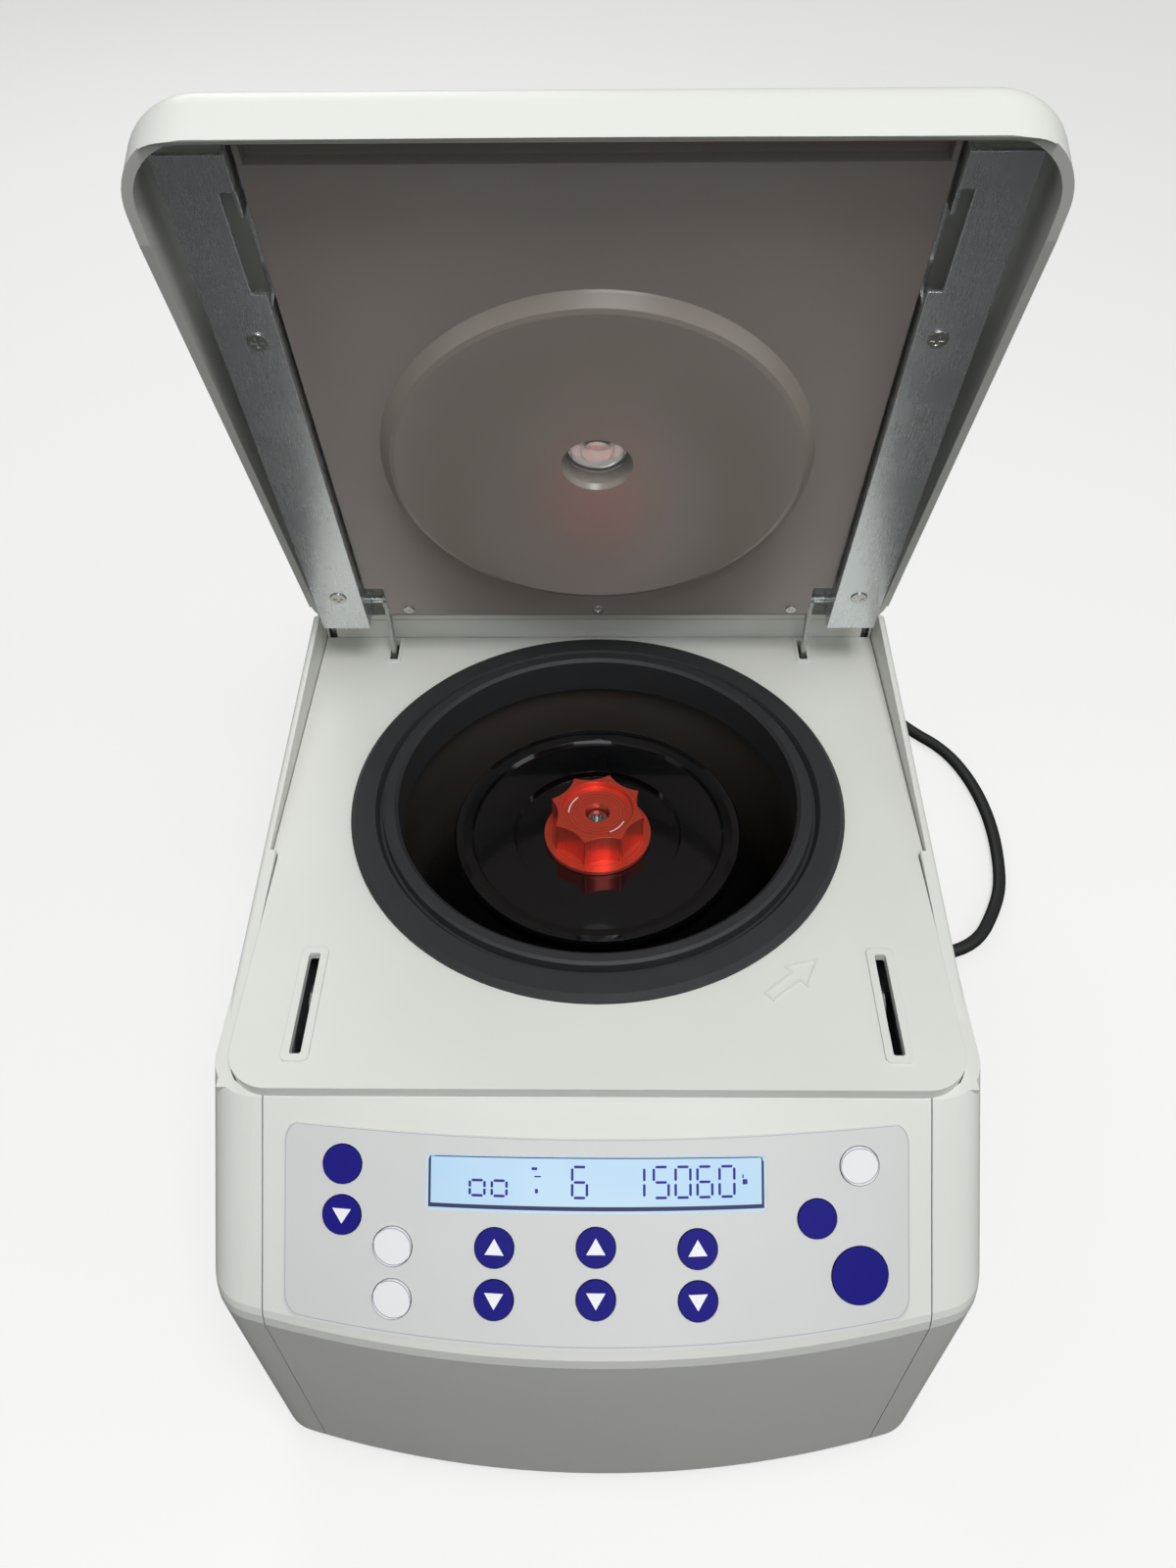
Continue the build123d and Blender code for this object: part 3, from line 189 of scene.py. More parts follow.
# pressed EPDM: dull, with a soft sheen on its rounded lips
gasketRubber = plainFinish("pressed_epdm_rubber", {
    "dark": "#212224", "light": "#28292B", "grain": 0.9, "depth": 0.025, "rough": 0.62, "patch": 18.0,
})
foamPu = plainFinish("poured_polyurethane_foam", {
    "dark": "#C9B183", "light": "#DCC79C", "grain": 1.6, "depth": 0.25, "rough": 0.9, "patch": 12.0,
})
# PTFE-filled paint baked on the bowl: black satin
bowlCoating = plainFinish("black_ptfe_coating", {
    "dark": "#3A342F", "light": "#453E38", "grain": 0.5, "depth": 0.012, "rough": 0.32,
    "more": {"IOR": 1.65},
})
# Painted and cast metals
powderCoat = plainFinish("satin_powder_coat", {
    "dark": "#D2D0C9", "light": "#D9D7D0", "grain": 1.1, "depth": 0.03, "rough": 0.48,
})
motorPaint = plainFinish("black_motor_enamel", {
    "dark": "#1E2023", "light": "#26282B", "grain": 2.0, "depth": 0.03, "rough": 0.45,
})
compressorPaint = plainFinish("black_compressor_enamel", {
    "dark": "#121314", "light": "#18191A", "grain": 1.5, "depth": 0.02, "rough": 0.3,
})
# Bare metals
copperTube = plainFinish("drawn_copper", {
    "dark": "#A65F3E", "light": "#C07A55", "grain": 1.2, "depth": 0.01, "rough": 0.32,
    "more": {"Metallic": 1.0},
})
finAluminium = plainFinish("rolled_fin_aluminium", {
    "dark": "#B9BCBE", "light": "#C6C9CB", "grain": 1.0, "depth": 0.01, "rough": 0.38,
    "more": {"Metallic": 1.0},
})
shaftSteel = plainFinish("ground_steel", {
    "dark": "#A9ABAD", "light": "#B6B8BA", "grain": 0.5, "depth": 0.004, "rough": 0.24,
    "more": {"Metallic": 1.0},
})
screwSteel = plainFinish("bright_zinc_screw_steel", {
    "dark": "#B9BAB6", "light": "#CACBC6", "grain": 0.6, "depth": 0.006, "rough": 0.26, "edge": 0.3,
    "more": {"Metallic": 1.0},
})
circuitGreen = plainFinish("solder_masked_board", {
    "dark": "#1B5A36", "light": "#23683F", "grain": 1.4, "depth": 0.02, "rough": 0.4,
})


def galvanised(name, look):
    # galvanised sheet: zinc crystals a few mm across, each with its own tone, dulled to blue-grey
    material, tree = startMaterial(name)
    where = addNode(tree, "ShaderNodeTexCoord").outputs["Object"]
    bend = grainNoise(tree, look["crystal"] * 0.6, 2.0)
    shift = addNode(tree, "ShaderNodeVectorMath", {0: bend.outputs["Color"]}, operation="SCALE")
    shift.inputs["Scale"].default_value = look["crystal"] * 0.5 * mm
    place = addNode(tree, "ShaderNodeVectorMath", {0: where, 1: shift.outputs["Vector"]}, operation="ADD")
    crystals = addNode(tree, "ShaderNodeTexVoronoi", {
        "Vector": place.outputs["Vector"], "Scale": 1 / (look["crystal"] * mm),
    })
    tone = addNode(tree, "ShaderNodeSeparateColor", {"Color": crystals.outputs["Color"]}).outputs["Red"]
    stain = grainNoise(tree, 14.0, 3.0)
    blend = addNode(tree, "ShaderNodeMath", {0: tone, 1: stain.outputs["Fac"]}, operation="MULTIPLY")
    shader = addNode(tree, "ShaderNodeBsdfPrincipled", {
        "Base Color": twoTones(tree, blend.outputs["Value"], look["dark"], look["light"]),
        "Metallic": 0.85,
        "Roughness": glossFrom(tree, tone, look["rough"], 0.08),
        "Normal": bumpFrom(tree, tone, 0.01),
    })
    endMaterial(tree, shader.outputs["BSDF"])
    return material


def rolledZinc(name, look):
    # zinc-coated strip off the roll: bright, with fine streaks along its length on the open lid
    material, tree = startMaterial(name)
    where = addNode(tree, "ShaderNodeTexCoord").outputs["Object"]
    along = addNode(tree, "ShaderNodeMapping", {"Vector": where}, vector_type="TEXTURE")
    along.inputs["Rotation"].default_value = (math.radians(-hinge["open"]), 0, 0)
    along.inputs["Scale"].default_value = (1, look["streak"], 1)
    streaks = addNode(tree, "ShaderNodeTexNoise", {
        "Vector": along.outputs["Vector"], "Scale": 1 / (look["fine"] * mm), "Detail": 3.0,
    }).outputs["Fac"]
    stain = grainNoise(tree, 16.0, 3.0).outputs["Fac"]
    both = addNode(tree, "ShaderNodeMath", {0: streaks, 1: stain}, operation="ADD").outputs["Value"]
    tone = addNode(tree, "ShaderNodeMath", {0: both, 1: 0.5}, operation="MULTIPLY").outputs["Value"]
    shader = addNode(tree, "ShaderNodeBsdfPrincipled", {
        "Base Color": twoTones(tree, tone, look["dark"], look["light"]),
        "Metallic": 0.9,
        "Roughness": glossFrom(tree, tone, look["rough"], 0.08),
        "Normal": bumpFrom(tree, streaks, 0.004, 0.5),
    })
    endMaterial(tree, shader.outputs["BSDF"])
    return material


railZinc = rolledZinc("zinc_coated_rail_strip", {
    "dark": "#CDD4D8", "light": "#E4E8EA", "streak": 40.0, "fine": 0.5, "rough": 0.27,
})
sheetZinc = galvanised("galvanised_sheet_steel", {
    "dark": "#92979B", "light": "#B4B8BA", "crystal": 4.0, "rough": 0.42,
})
linkZinc = galvanised("bright_zinc_strap", {
    "dark": "#A7A9A6", "light": "#C3C4BF", "crystal": 1.4, "rough": 0.36,
})


def turnedAnodised(name, look):
    # lathe-turned aluminium under a hard anodised skin: fine rings about the rotor's axis
    material, tree = startMaterial(name)
    where = addNode(tree, "ShaderNodeTexCoord").outputs["Object"]
    centred = addNode(tree, "ShaderNodeMapping", {"Vector": where})
    centred.inputs["Location"].default_value = (0, -deck["rotorY"] * mm, 0)
    flat = addNode(tree, "ShaderNodeSeparateXYZ", {"Vector": centred.outputs["Vector"]})
    level = addNode(tree, "ShaderNodeCombineXYZ", {"X": flat.outputs["X"], "Y": flat.outputs["Y"]})
    reach = addNode(tree, "ShaderNodeVectorMath", {0: level.outputs["Vector"]}, operation="LENGTH")
    rings = addNode(tree, "ShaderNodeTexNoise", {
        "W": reach.outputs["Value"], "Scale": 1 / (look["ring"] * mm), "Detail": 2.0,
    }, noise_dimensions="1D").outputs["Fac"]
    shader = addNode(tree, "ShaderNodeBsdfPrincipled", {
        "Base Color": twoTones(tree, rings, look["dark"], look["light"]),
        "Metallic": look["metal"],
        "Roughness": glossFrom(tree, rings, look["rough"], 0.07),
        "Coat Weight": look["coat"],
        "Coat Roughness": 0.05,
        "Coat IOR": look["coatIor"],
        "Normal": bumpFrom(tree, rings, look["depth"], look["edge"]),
    })
    endMaterial(tree, shader.outputs["BSDF"])
    return material


blackAnodised = turnedAnodised("black_anodised_turned_aluminium", {
    "dark": "#0C0D10", "light": "#17181D", "metal": 0.7, "rough": 0.14, "coat": 1.0, "coatIor": 1.6,
    "ring": 0.9, "depth": 0.004, "edge": 0.3,
})
redAnodised = turnedAnodised("red_anodised_turned_aluminium", {
    "dark": "#D2422F", "light": "#E25A45", "metal": 0.6, "rough": 0.3, "coat": 0.4, "coatIor": 1.5,
    "ring": 0.8, "depth": 0.008, "edge": 0.35,
})


def clearAcrylic(name, look):
    # clear moulded acrylic: light goes through it, and its edges look grey
    material, tree = startMaterial(name)
    haze = grainNoise(tree, 6.0, 2.0).outputs["Fac"]
    gloss = addNode(tree, "ShaderNodeMapRange", {"Value": haze, "To Min": 0.03, "To Max": look["rough"]})
    shader = addNode(tree, "ShaderNodeBsdfPrincipled", {
        "Base Color": linear(look["tint"]),
        "Roughness": gloss.outputs["Result"],
        "Transmission Weight": look["clear"],
        "IOR": 1.49,
    })
    endMaterial(tree, shader.outputs["BSDF"])
    return material


lensAcrylic = clearAcrylic("clear_moulded_acrylic", {"tint": "#E4E2DE", "clear": 0.75, "rough": 0.12})


def backlitGlass(name, look):
    # a liquid-crystal glass lit from behind: pale blue, a little brighter in its middle
    material, tree = startMaterial(name)
    glow = grainNoise(tree, 40.0, 1.0)
    colour = twoTones(tree, glow.outputs["Fac"], look["dark"], look["light"])
    shader = addNode(tree, "ShaderNodeBsdfPrincipled", {
        "Base Color": linear("#30363C"),
        "Roughness": 0.16,
        "IOR": 1.5,
        "Emission Color": colour,
        "Emission Strength": look["glow"],
    })
    endMaterial(tree, shader.outputs["BSDF"])
    return material


displayGlass = backlitGlass("backlit_display_glass", {"dark": "#A9D6F6", "light": "#D6EDFC", "glow": 0.88})


def printedInk(name, colour):
    # screen-printed ink, a little uneven at its edges
    material, tree = startMaterial(name)
    mottle = grainNoise(tree, 1.5, 2.0).outputs["Fac"]
    gloss = addNode(tree, "ShaderNodeMapRange", {"Value": mottle, "To Min": 0.45, "To Max": 0.6})
    shader = addNode(tree, "ShaderNodeBsdfPrincipled", {
        "Base Color": linear(colour), "Roughness": gloss.outputs["Result"],
    })
    endMaterial(tree, shader.outputs["BSDF"])
    return material


whiteInk = printedInk("white_screen_ink", "#EEF0F2")
greyInk = printedInk("grey_screen_ink", "#8F949E")
blueInk = printedInk("dark_blue_segment", "#17168C")
# pale grey painted shade for the thin shadow line along the keypad film's raised edge, made with the ink
# finish
filmEdgeShade = printedInk("painted_film_edge_shade", "#A9ADB0")
# dark blue-grey painted shade for the rim of the display's recess, made with the ink finish
recessShadePaint = printedInk("painted_display_recess_shade", "#2A2C58")

finishes = {
    housingAbs: ("side_shell_left", "side_shell_right", "front_panel", "deck_cover", "rear_top_cover",
                 "lid_shell"),
    powderCoat: ("rear_panel",),
    sheetZinc: ("base_pan", "motor_mount", "hinge_brackets", "latch_hooks", "latch_frame"),
    railZinc: ("lid_rail_left", "lid_rail_right"),
    linkZinc: ("lid_links",),
    footRubber: ("feet",),
    screwSteel: ("housing_screws", "rail_screws"),
    gasketRubber: ("chamber_gasket",),
    bowlCoating: ("rotor_chamber",),
    copperTube: ("evaporator_coil",),
    foamPu: ("insulation_foam",),
    motorPaint: ("motor_body",),
    compressorPaint: ("compressor", "gas_springs"),
    shaftSteel: ("motor_shaft", "rotor_nut", "spring_rods"),
    blackAnodised: ("rotor_body", "rotor_lid"),
    redAnodised: ("rotor_knob",),
    finAluminium: ("condenser",),
    nylonBlack: ("fan_shroud", "fan_rotor", "power_inlet", "mains_switch", "cord_connector",
                 "mains_plug"),
    circuitGreen: ("control_board", "power_board"),
    overlayFilm: ("keypad_overlay",),
    displayGlass: ("display_window", "display_module"),
    linerSheet: ("lid_liner",),
    lensAcrylic: ("window_lens",),
    blueKey: ("button_menu", "button_select", "button_time_up", "button_time_down",
              "button_temp_up", "button_temp_down", "button_speed_up", "button_speed_down",
              "button_short", "button_start"),
    whiteKey: ("button_unit", "button_fast_cool", "button_open"),
}
for material, names in finishes.items():
    for name in names:
        mesh = nodes[name].data
        mesh.materials.clear()
        mesh.materials.append(material)
print("materials set on", sum(len(names) for names in finishes.values()), "nodes")


# Mesh helpers

def plate(outlines, low, high):
    # a flat piece between two levels: the first outline is its edge, the others are holes
    loops = [[Vector((x, y, 0)) for x, y in outline] for outline in outlines]
    flat = [p for loop in loops for p in loop]
    count = len(flat)
    points = [(p.x, p.y, high) for p in flat] + [(p.x, p.y, low) for p in flat]
    faces = []
    for a, b, c in tessellate_polygon(loops):
        faces.append((a, b, c))
        faces.append((c + count, b + count, a + count))
    start = 0
    for loop in loops:
        size = len(loop)
        for n in range(size):
            a, b = start + n, start + (n + 1) % size
            faces.append((a, b, b + count, a + count))
        start += size
    return points, faces


def joined(pieces):
    points, faces = [], []
    for morePoints, moreFaces in pieces:
        start = len(points)
        points += morePoints
        faces += [tuple(n + start for n in face) for face in moreFaces]
    return points, faces


def band(outer, inner, low, high):
    # a closed strip between two outlines whose points match one to one
    size = len(outer)
    points = [(x, y, z) for z in (low, high) for outline in (outer, inner) for x, y in outline]
    faces = []
    for n in range(size):
        m = (n + 1) % size
        corners = (n, m, m + size, n + size)
        faces.append(tuple(c + 2 * size for c in corners))
        faces.append(corners[::-1])
        faces.append((m, n, n + 2 * size, m + 2 * size))
        faces.append((n + size, m + size, m + 3 * size, n + 3 * size))
    return points, faces


def circle(radius, count=40, x=0.0, y=0.0):
    turns = [2 * math.pi * n / count for n in range(count)]
    return [(x + radius * math.cos(t), y + radius * math.sin(t)) for t in turns]


def meshObject(name, shape, material):
    points, faces = shape
    mesh = bpy.data.meshes.new(name)
    mesh.from_pydata([tuple(p) for p in points], [], faces)
    work = bmesh.new()
    work.from_mesh(mesh)
    bmesh.ops.recalc_face_normals(work, faces=work.faces)
    work.to_mesh(mesh)
    work.free()
    mesh.materials.append(material)
    obj = bpy.data.objects.new(name, mesh)
    bpy.context.collection.objects.link(obj)
    return obj


def moveVertices(obj, place):
    for vertex in obj.data.vertices:
        vertex.co = place(vertex.co)
    obj.data.update()


# Geometry Nodes tree that puts one piece on every point, each with its own turn and stretch
def copiesTree():
    tree = bpy.data.node_groups.new("copiesOnPoints", "GeometryNodeTree")
    sockets = {"Points": "Geometry", "Piece": "Object", "Finish": "Material", "Size": "Float"}
    for name, kind in sockets.items():
        tree.interface.new_socket(name, in_out="INPUT", socket_type="NodeSocket" + kind)
    tree.interface.new_socket("Copies", in_out="OUTPUT", socket_type="NodeSocketGeometry")
    given = addNode(tree, "NodeGroupInput").outputs
    piece = addNode(tree, "GeometryNodeObjectInfo", {"Object": given["Piece"]})
    turn, stretch = [
        addNode(tree, "GeometryNodeInputNamedAttribute", {"Name": key}, data_type="FLOAT_VECTOR")
        for key in ("turn", "stretch")
    ]
    size = addNode(tree, "ShaderNodeVectorMath", {
        0: stretch.outputs["Attribute"], "Scale": given["Size"],
    }, operation="SCALE")
    angle = addNode(tree, "FunctionNodeEulerToRotation", {"Euler": turn.outputs["Attribute"]})
    copies = addNode(tree, "GeometryNodeInstanceOnPoints", {
        "Points": given["Points"],
        "Instance": piece.outputs["Geometry"],
        "Rotation": angle.outputs["Rotation"],
        "Scale": size.outputs["Vector"],
    })
    real = addNode(tree, "GeometryNodeRealizeInstances", {"Geometry": copies.outputs["Instances"]})
    finished = addNode(tree, "GeometryNodeSetMaterial", {
        "Geometry": real.outputs["Geometry"], "Material": given["Finish"],
    })
    addNode(tree, "NodeGroupOutput", {"Copies": finished.outputs["Geometry"]})
    return tree


copiesOnPoints = copiesTree()


def copyPiece(name, shape, material, places):
    # places: a list of (point, turn in radians about X, Y, Z, stretch in X, Y, Z)
    piece = meshObject(name + "Piece", shape, material)
    mesh = bpy.data.meshes.new(name)
    mesh.from_pydata([tuple(p[0]) for p in places], [], [])
    for key, index in (("turn", 1), ("stretch", 2)):
        values = mesh.attributes.new(key, "FLOAT_VECTOR", "POINT")
        for n, place in enumerate(places):
            values.data[n].vector = place[index]
    host = bpy.data.objects.new(name, mesh)
    bpy.context.collection.objects.link(host)
    modifier = host.modifiers.new("copies", "NODES")
    modifier.node_group = copiesOnPoints
    items = copiesOnPoints.interface.items_tree
    given = {item.name: item.identifier for item in items if item.in_out == "INPUT"}
    modifier[given["Piece"]] = piece
    modifier[given["Finish"]] = material
    modifier[given["Size"]] = 1.0
    evaluated = host.evaluated_get(bpy.context.evaluated_depsgraph_get())
    real = bpy.data.meshes.new_from_object(evaluated)
    host.modifiers.clear()
    host.data = real
    if not real.materials:
        real.materials.append(material)
    for key in ("turn", "stretch"):
        if key in real.attributes:
            real.attributes.remove(real.attributes[key])
    bpy.data.objects.remove(piece)
    return host


plainTurn = (0.0, 0.0, 0.0)
plainStretch = (1.0, 1.0, 1.0)


# Mains lead: the part's own route, then its flat coil in two layers, then the tail to the plug
lead = {"radius": 4.0, "x": 100.0, "start": 304.0, "level": -160.0, "floor": -208.98, "rise": 8.6}
coil = {"x": -10.0, "y": 335.0, "radii": (48.0, 43.5, 39.0, 34.5), "inner": 30.0, "steps": 6}


def leadPoints():
    x, start, level, low = lead["x"], lead["start"], lead["level"], lead["floor"]
    near = coil["y"] - coil["radii"][0]
    return [
        (x, start, level),
        (x, start + 30.0, level),
        (x + 17.5, start + 58.0, level - 8.0),
        (x + 48.0, start + 67.0, level - 22.0),
        (x + 77.0, start + 53.0, level - 36.0),
        (198.7, 310.7, low),
        (225.0, 268.5, low),
        (249.5, 246.0, low),
        (262.5, 212.0, low),
        (267.0, 172.0, low),
        (262.5, 128.0, low),
        (254.0, 103.0, low),
        (233.5, 70.0, low),
        (195.0, 62.0, low),
        (162.0, 82.5, low),
        (153.8, 121.0, low),
        (154.4, 152.0, low),
        (157.5, 205.0, low),
        (155.0, 254.0, low),
        (128.8, 280.5, low),
        (88.0, 281.5, low),
        (40.0, near, low),
    ]


def halfTurn(y, radius, way, side, low, high):
    # one half turn from y on the coil's cross line; control points lie just outside the radius
    step = math.pi / coil["steps"]
    reach = radius / math.cos(step / 2)
    middle = y + way * radius
    points = []
    for n in range(coil["steps"]):
        t = (n + 0.5) * step
        climb = low + (high - low) * (n + 0.5) / coil["steps"]
        x, along = coil["x"] - side * reach * math.sin(t), middle - way * reach * math.cos(t)
        points.append((x, along, climb))
    return points


def coilPoints():
    low, high = lead["floor"], lead["floor"] + lead["rise"]
    y = coil["y"] - coil["radii"][0]
    points = []
    for n, radius in enumerate(coil["radii"]):
        way = 1 if n % 2 == 0 else -1
        points += halfTurn(y, radius, way, way, low, low)
        y += way * 2 * radius
    points += halfTurn(y, coil["inner"], 1, 1, low, high)
    y += 2 * coil["inner"]
    for n, radius in enumerate(coil["radii"][::-1]):
        way = -1 if n % 2 == 0 else 1
        points += halfTurn(y, radius, way, way, high, high)
        y += way * 2 * radius
    far = coil["y"] + coil["radii"][0]
    return points + [(coil["x"] + 12.0, far, high), (28.0, far, high), (60.0, far - 12.0, high)]


def makeCord():
    route = [fromDeck(*p) for p in leadPoints() + coilPoints()]
    curve = bpy.data.curves.new("mains_cord", "CURVE")
    curve.dimensions = "3D"
    curve.bevel_depth = lead["radius"] * mm
    curve.bevel_resolution = 5
    curve.resolution_u = 6
    curve.use_fill_caps = True
    spline = curve.splines.new("NURBS")
    spline.points.add(len(route) - 1)
    for point, place in zip(spline.points, route):
        point.co = (*place, 1.0)
    spline.order_u = 3
    spline.use_endpoint_u = True
    curve.materials.append(cordPvc)
    obj = bpy.data.objects.new("mains_cord", curve)
    bpy.context.collection.objects.link(obj)
    return obj


cord = makeCord()
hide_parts("cord_lead", "cord_coil")
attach(cord, "housing")
print("cord laid")


# Front panel: places are given across it and down its slope, from its top edge
panel = {"top": -5.5, "ridge": -63.0, "front": -222.0, "run": 74.5, "bulge": 15.0, "span": 124.0}
panel["slope"] = math.atan2(panel["top"] - panel["ridge"], panel["run"])
ink = {"low": -0.02, "high": 0.05}
depsgraph = bpy.context.evaluated_depsgraph_get()


def panelPoint(x, down):
    fall = panel["top"] - panel["ridge"]
    level = panel["top"] - down * math.sin(panel["slope"])
    share = (panel["top"] - level) / fall
    bow = panel["bulge"] * (x / panel["span"]) ** 2
    y = panel["front"] + panel["run"] / fall * (level - panel["ridge"]) + bow * share
    return fromDeck(x, y, level)


def layOn(target, obj):
    # sets a flat piece, drawn across and down the panel in mm, on the real surface of a node
    tree = BVHTree.FromObject(nodes[target], depsgraph)
    out = Vector((0, -math.sin(panel["slope"]), math.cos(panel["slope"])))
    above = 10 * mm

    def place(co):
        start = panelPoint(co.x, -co.y) + out * above
        hit = tree.ray_cast(start, -out)
        found = hit[0] if hit[0] else start - out * above
        return found + out * co.z * mm

    moveVertices(obj, place)


# each key: across, down the panel, and its radius
keyPlaces = {
    "menu": (-93.6, 26.2, 7.1),
    "select": (-93.6, 46.0, 7.1),
    "unit": (-74.6, 56.3, 7.1),
    "fast_cool": (-74.6, 75.9, 7.1),
    "time_up": (-37.1, 54.3, 7.1),
    "time_down": (-37.1, 72.8, 7.1),
    "temp_up": (0.0, 53.3, 7.1),
    "temp_down": (0.0, 71.6, 7.1),
    "speed_up": (37.1, 54.3, 7.1),
    "speed_down": (37.1, 72.8, 7.1),
    "open": (96.8, 26.2, 7.1),
    "short": (81.0, 45.6, 7.1),
    "start": (96.6, 68.9, 10.4),
}
# the turn of the arrowhead on a key that has one, and the keys that have a ring
arrowKeys = {
    "select": math.pi, "time_up": 0.0, "time_down": math.pi, "temp_up": 0.0, "temp_down": math.pi,
    "speed_up": 0.0, "speed_down": math.pi,
}
ringKeys = ("unit", "fast_cool", "open")
keyMark = {"half": 3.5, "tall": 5.9, "rise": 0.42, "ringOuter": 0.1, "ringInner": 0.4, "sides": 64}


def makeKeyMarks():
    half, tall = keyMark["half"], keyMark["tall"]
    low = -tall * keyMark["rise"]
    arrow = plate([[(-half, low), (half, low), (0, low + tall)]], ink["low"], ink["high"])
    for key, (x, down, radius) in keyPlaces.items():
        if key in arrowKeys:
            marks = [((x, -down, 0), (0, 0, arrowKeys[key]), plainStretch)]
            obj = copyPiece("mark_" + key, arrow, whiteInk, marks)
        elif key in ringKeys:
            edges = (keyMark["ringOuter"], keyMark["ringInner"])
            outer, inner = [circle(radius - edge, keyMark["sides"], x, -down) for edge in edges]
            obj = meshObject("mark_" + key, band(outer, inner, ink["low"], ink["high"]), greyInk)
        else:
            continue
        layOn("button_" + key, obj)
        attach(obj, "key_" + key)


makeKeyMarks()


film = {"half": 115.5, "side": 9.8, "middle": 14.7, "bottom": 89.0, "corner": 5.0, "lowInset": 1.4}


def filmEdge(inset):
    # the film's outline, across and down the panel, drawn in by inset; its upper edge sags
    half, corner = film["half"] - inset, film["corner"]
    top, middle = film["side"] + inset, film["middle"] + inset
    bottom = film["bottom"] - inset * film["lowInset"]
    long = corner / math.sin(panel["slope"])
    x, upper, lower = half - corner, top + long, bottom - long
    steps, rows = 48, 12
    across = [1 - 2 * n / steps for n in range(steps + 1)]
    fall = [(lower - upper) * n / rows for n in range(1, rows)]
    turns = [math.pi / 2 * n / 8 for n in range(9)]
    points = [(x * s, middle - (middle - top) * (x * s / half) ** 2) for s in across]
    points += [(-x - corner * math.sin(t), upper - long * math.cos(t)) for t in turns[1:]]
    points += [(-half, upper + down) for down in fall]
    points += [(-x - corner * math.cos(t), lower + long * math.sin(t)) for t in turns]
    points += [(-x * s, bottom) for s in across[1:-1]]
    points += [(x + corner * math.sin(t), lower + long * math.cos(t)) for t in turns]
    points += [(half, lower - down) for down in fall]
    points += [(x + corner * math.cos(t), upper - long * math.sin(t)) for t in turns[:-1]]
    return [(x, -down) for x, down in points]


# a thin grey line just inside the film's edge: painted shadow of the film's raised edge
filmEdgeShadeLine = band(filmEdge(0.5), filmEdge(0.75), ink["low"], ink["high"])
border = meshObject("overlay_border", filmEdgeShadeLine, filmEdgeShade)
layOn("keypad_overlay", border)
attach(border, "housing")


# Display: seven-segment digits, split into short strokes as the glass shows them
display = {
    "digitWidth": 5.4, "digitHeight": 11.0, "stroke": 0.95, "middle": 30.3, "smallMiddle": 32.9,
    "flatShare": 0.8, "uprightShare": 0.84,
}
# strokes of a digit: a top, b and c right, d bottom, e and f left, g middle
strokes = {"0": "abcdef", "1": "bc", "5": "acdfg", "6": "acdefg", "o": "abcdef"}
# each digit: its strokes, its middle across the panel, and whether it is a small one
digits = (
    ("o", -43.6, True), ("o", -35.5, True), ("6", -6.0, False), ("1", 15.0, False),
    ("5", 23.9, False), ("0", 31.9, False), ("6", 39.9, False), ("0", 48.0, False),
)
# small plain marks beside the digits: across, down, width, height
dots = (
    (-22.6, 25.6, 2.2, 1.0), (-21.4, 28.4, 2.6, 0.5), (-21.8, 33.6, 1.2, 1.6),
    (54.6, 30.6, 1.9, 1.9), (53.9, 28.6, 0.5, 1.4),
)


def digitStrokes(digit, x, small):
    wide = display["digitWidth"]
    tall = display["digitHeight"] * (0.5 if small else 1.0)
    down = display["smallMiddle"] if small else display["middle"]
    upright = math.pi / 2
    table = {
        "a": (0, tall / 2, 0), "d": (0, -tall / 2, 0), "g": (0, 0, 0),
        "b": (wide / 2, tall / 4, upright), "c": (wide / 2, -tall / 4, upright),
        "e": (-wide / 2, -tall / 4, upright), "f": (-wide / 2, tall / 4, upright),
    }
    places = []
    for key in strokes[digit]:
        dx, dy, turn = table[key]
        long = tall / 2 * display["uprightShare"] if turn else wide * display["flatShare"]
        places.append(((x + dx, -down + dy, 0), (0, 0, turn), (long, display["stroke"], 1.0)))
    return places


def makeDigits():
    # one stroke, 1 mm long and wide, with pointed ends
    outline = [(-0.5, 0), (-0.42, -0.5), (0.42, -0.5), (0.5, 0), (0.42, 0.5), (-0.42, 0.5)]
    stroke = plate([outline], ink["low"], ink["high"])
    places = [place for digit, x, small in digits for place in digitStrokes(digit, x, small)]
    places += [((x, -down, 0), plainTurn, (wide, tall, 1.0)) for x, down, wide, tall in dots]
    obj = copyPiece("display_digits", stroke, blueInk, places)
    layOn("display_window", obj)
    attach(obj, "housing")


def rimLine(half, top, bottom):
    # an outline across and down the panel, from its upper left corner
    across = [2 * n / 30 - 1 for n in range(30)]
    fall = [(bottom - top) * n / 6 for n in range(6)]
    points = [(x * half, -top) for x in across] + [(half, -top - down) for down in fall]
    return points + [(-x * half, -bottom) for x in across] + [(-half, -bottom + down) for down in fall]


def makeDisplayRecessShade():
    # painted shade: a dark band laid on the display glass where the recess's rim shades it, wider along
    # its lower edge
    edge = {"half": 61.6, "top": 21.5, "bottom": 40.5, "side": 0.9, "upper": 0.4, "lower": 1.5}
    half, top, bottom = edge["half"], edge["top"], edge["bottom"]
    outer = rimLine(half, top, bottom)
    inner = rimLine(half - edge["side"], top + edge["upper"], bottom - edge["lower"])
    obj = meshObject("display_edge", band(outer, inner, ink["low"], ink["high"]), recessShadePaint)
    layOn("display_window", obj)
    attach(obj, "housing")


makeDigits()
makeDisplayRecessShade()
print("panel marked")


# Screws with a cross recess
def quarterTurns(points, turns):
    for _ in range(turns):
        points = [(-y, x) for x, y in points]
    return points


def crossScrew(radius, height, shank):
    arm, slot, step = radius * 0.6, radius * 0.17, height * 0.45
    quarter = [(-slot, -arm), (slot, -arm), (slot, -slot)]
    cross = [turned for turn in range(4) for turned in quarterTurns(quarter, turn)]
    base = plate([circle(radius)], 0, step)
    top = plate([circle(radius * 0.93), cross], step, height)
    stem = plate([circle(radius * 0.4)], -shank, 0.02)
    return joined([base, top, stem])


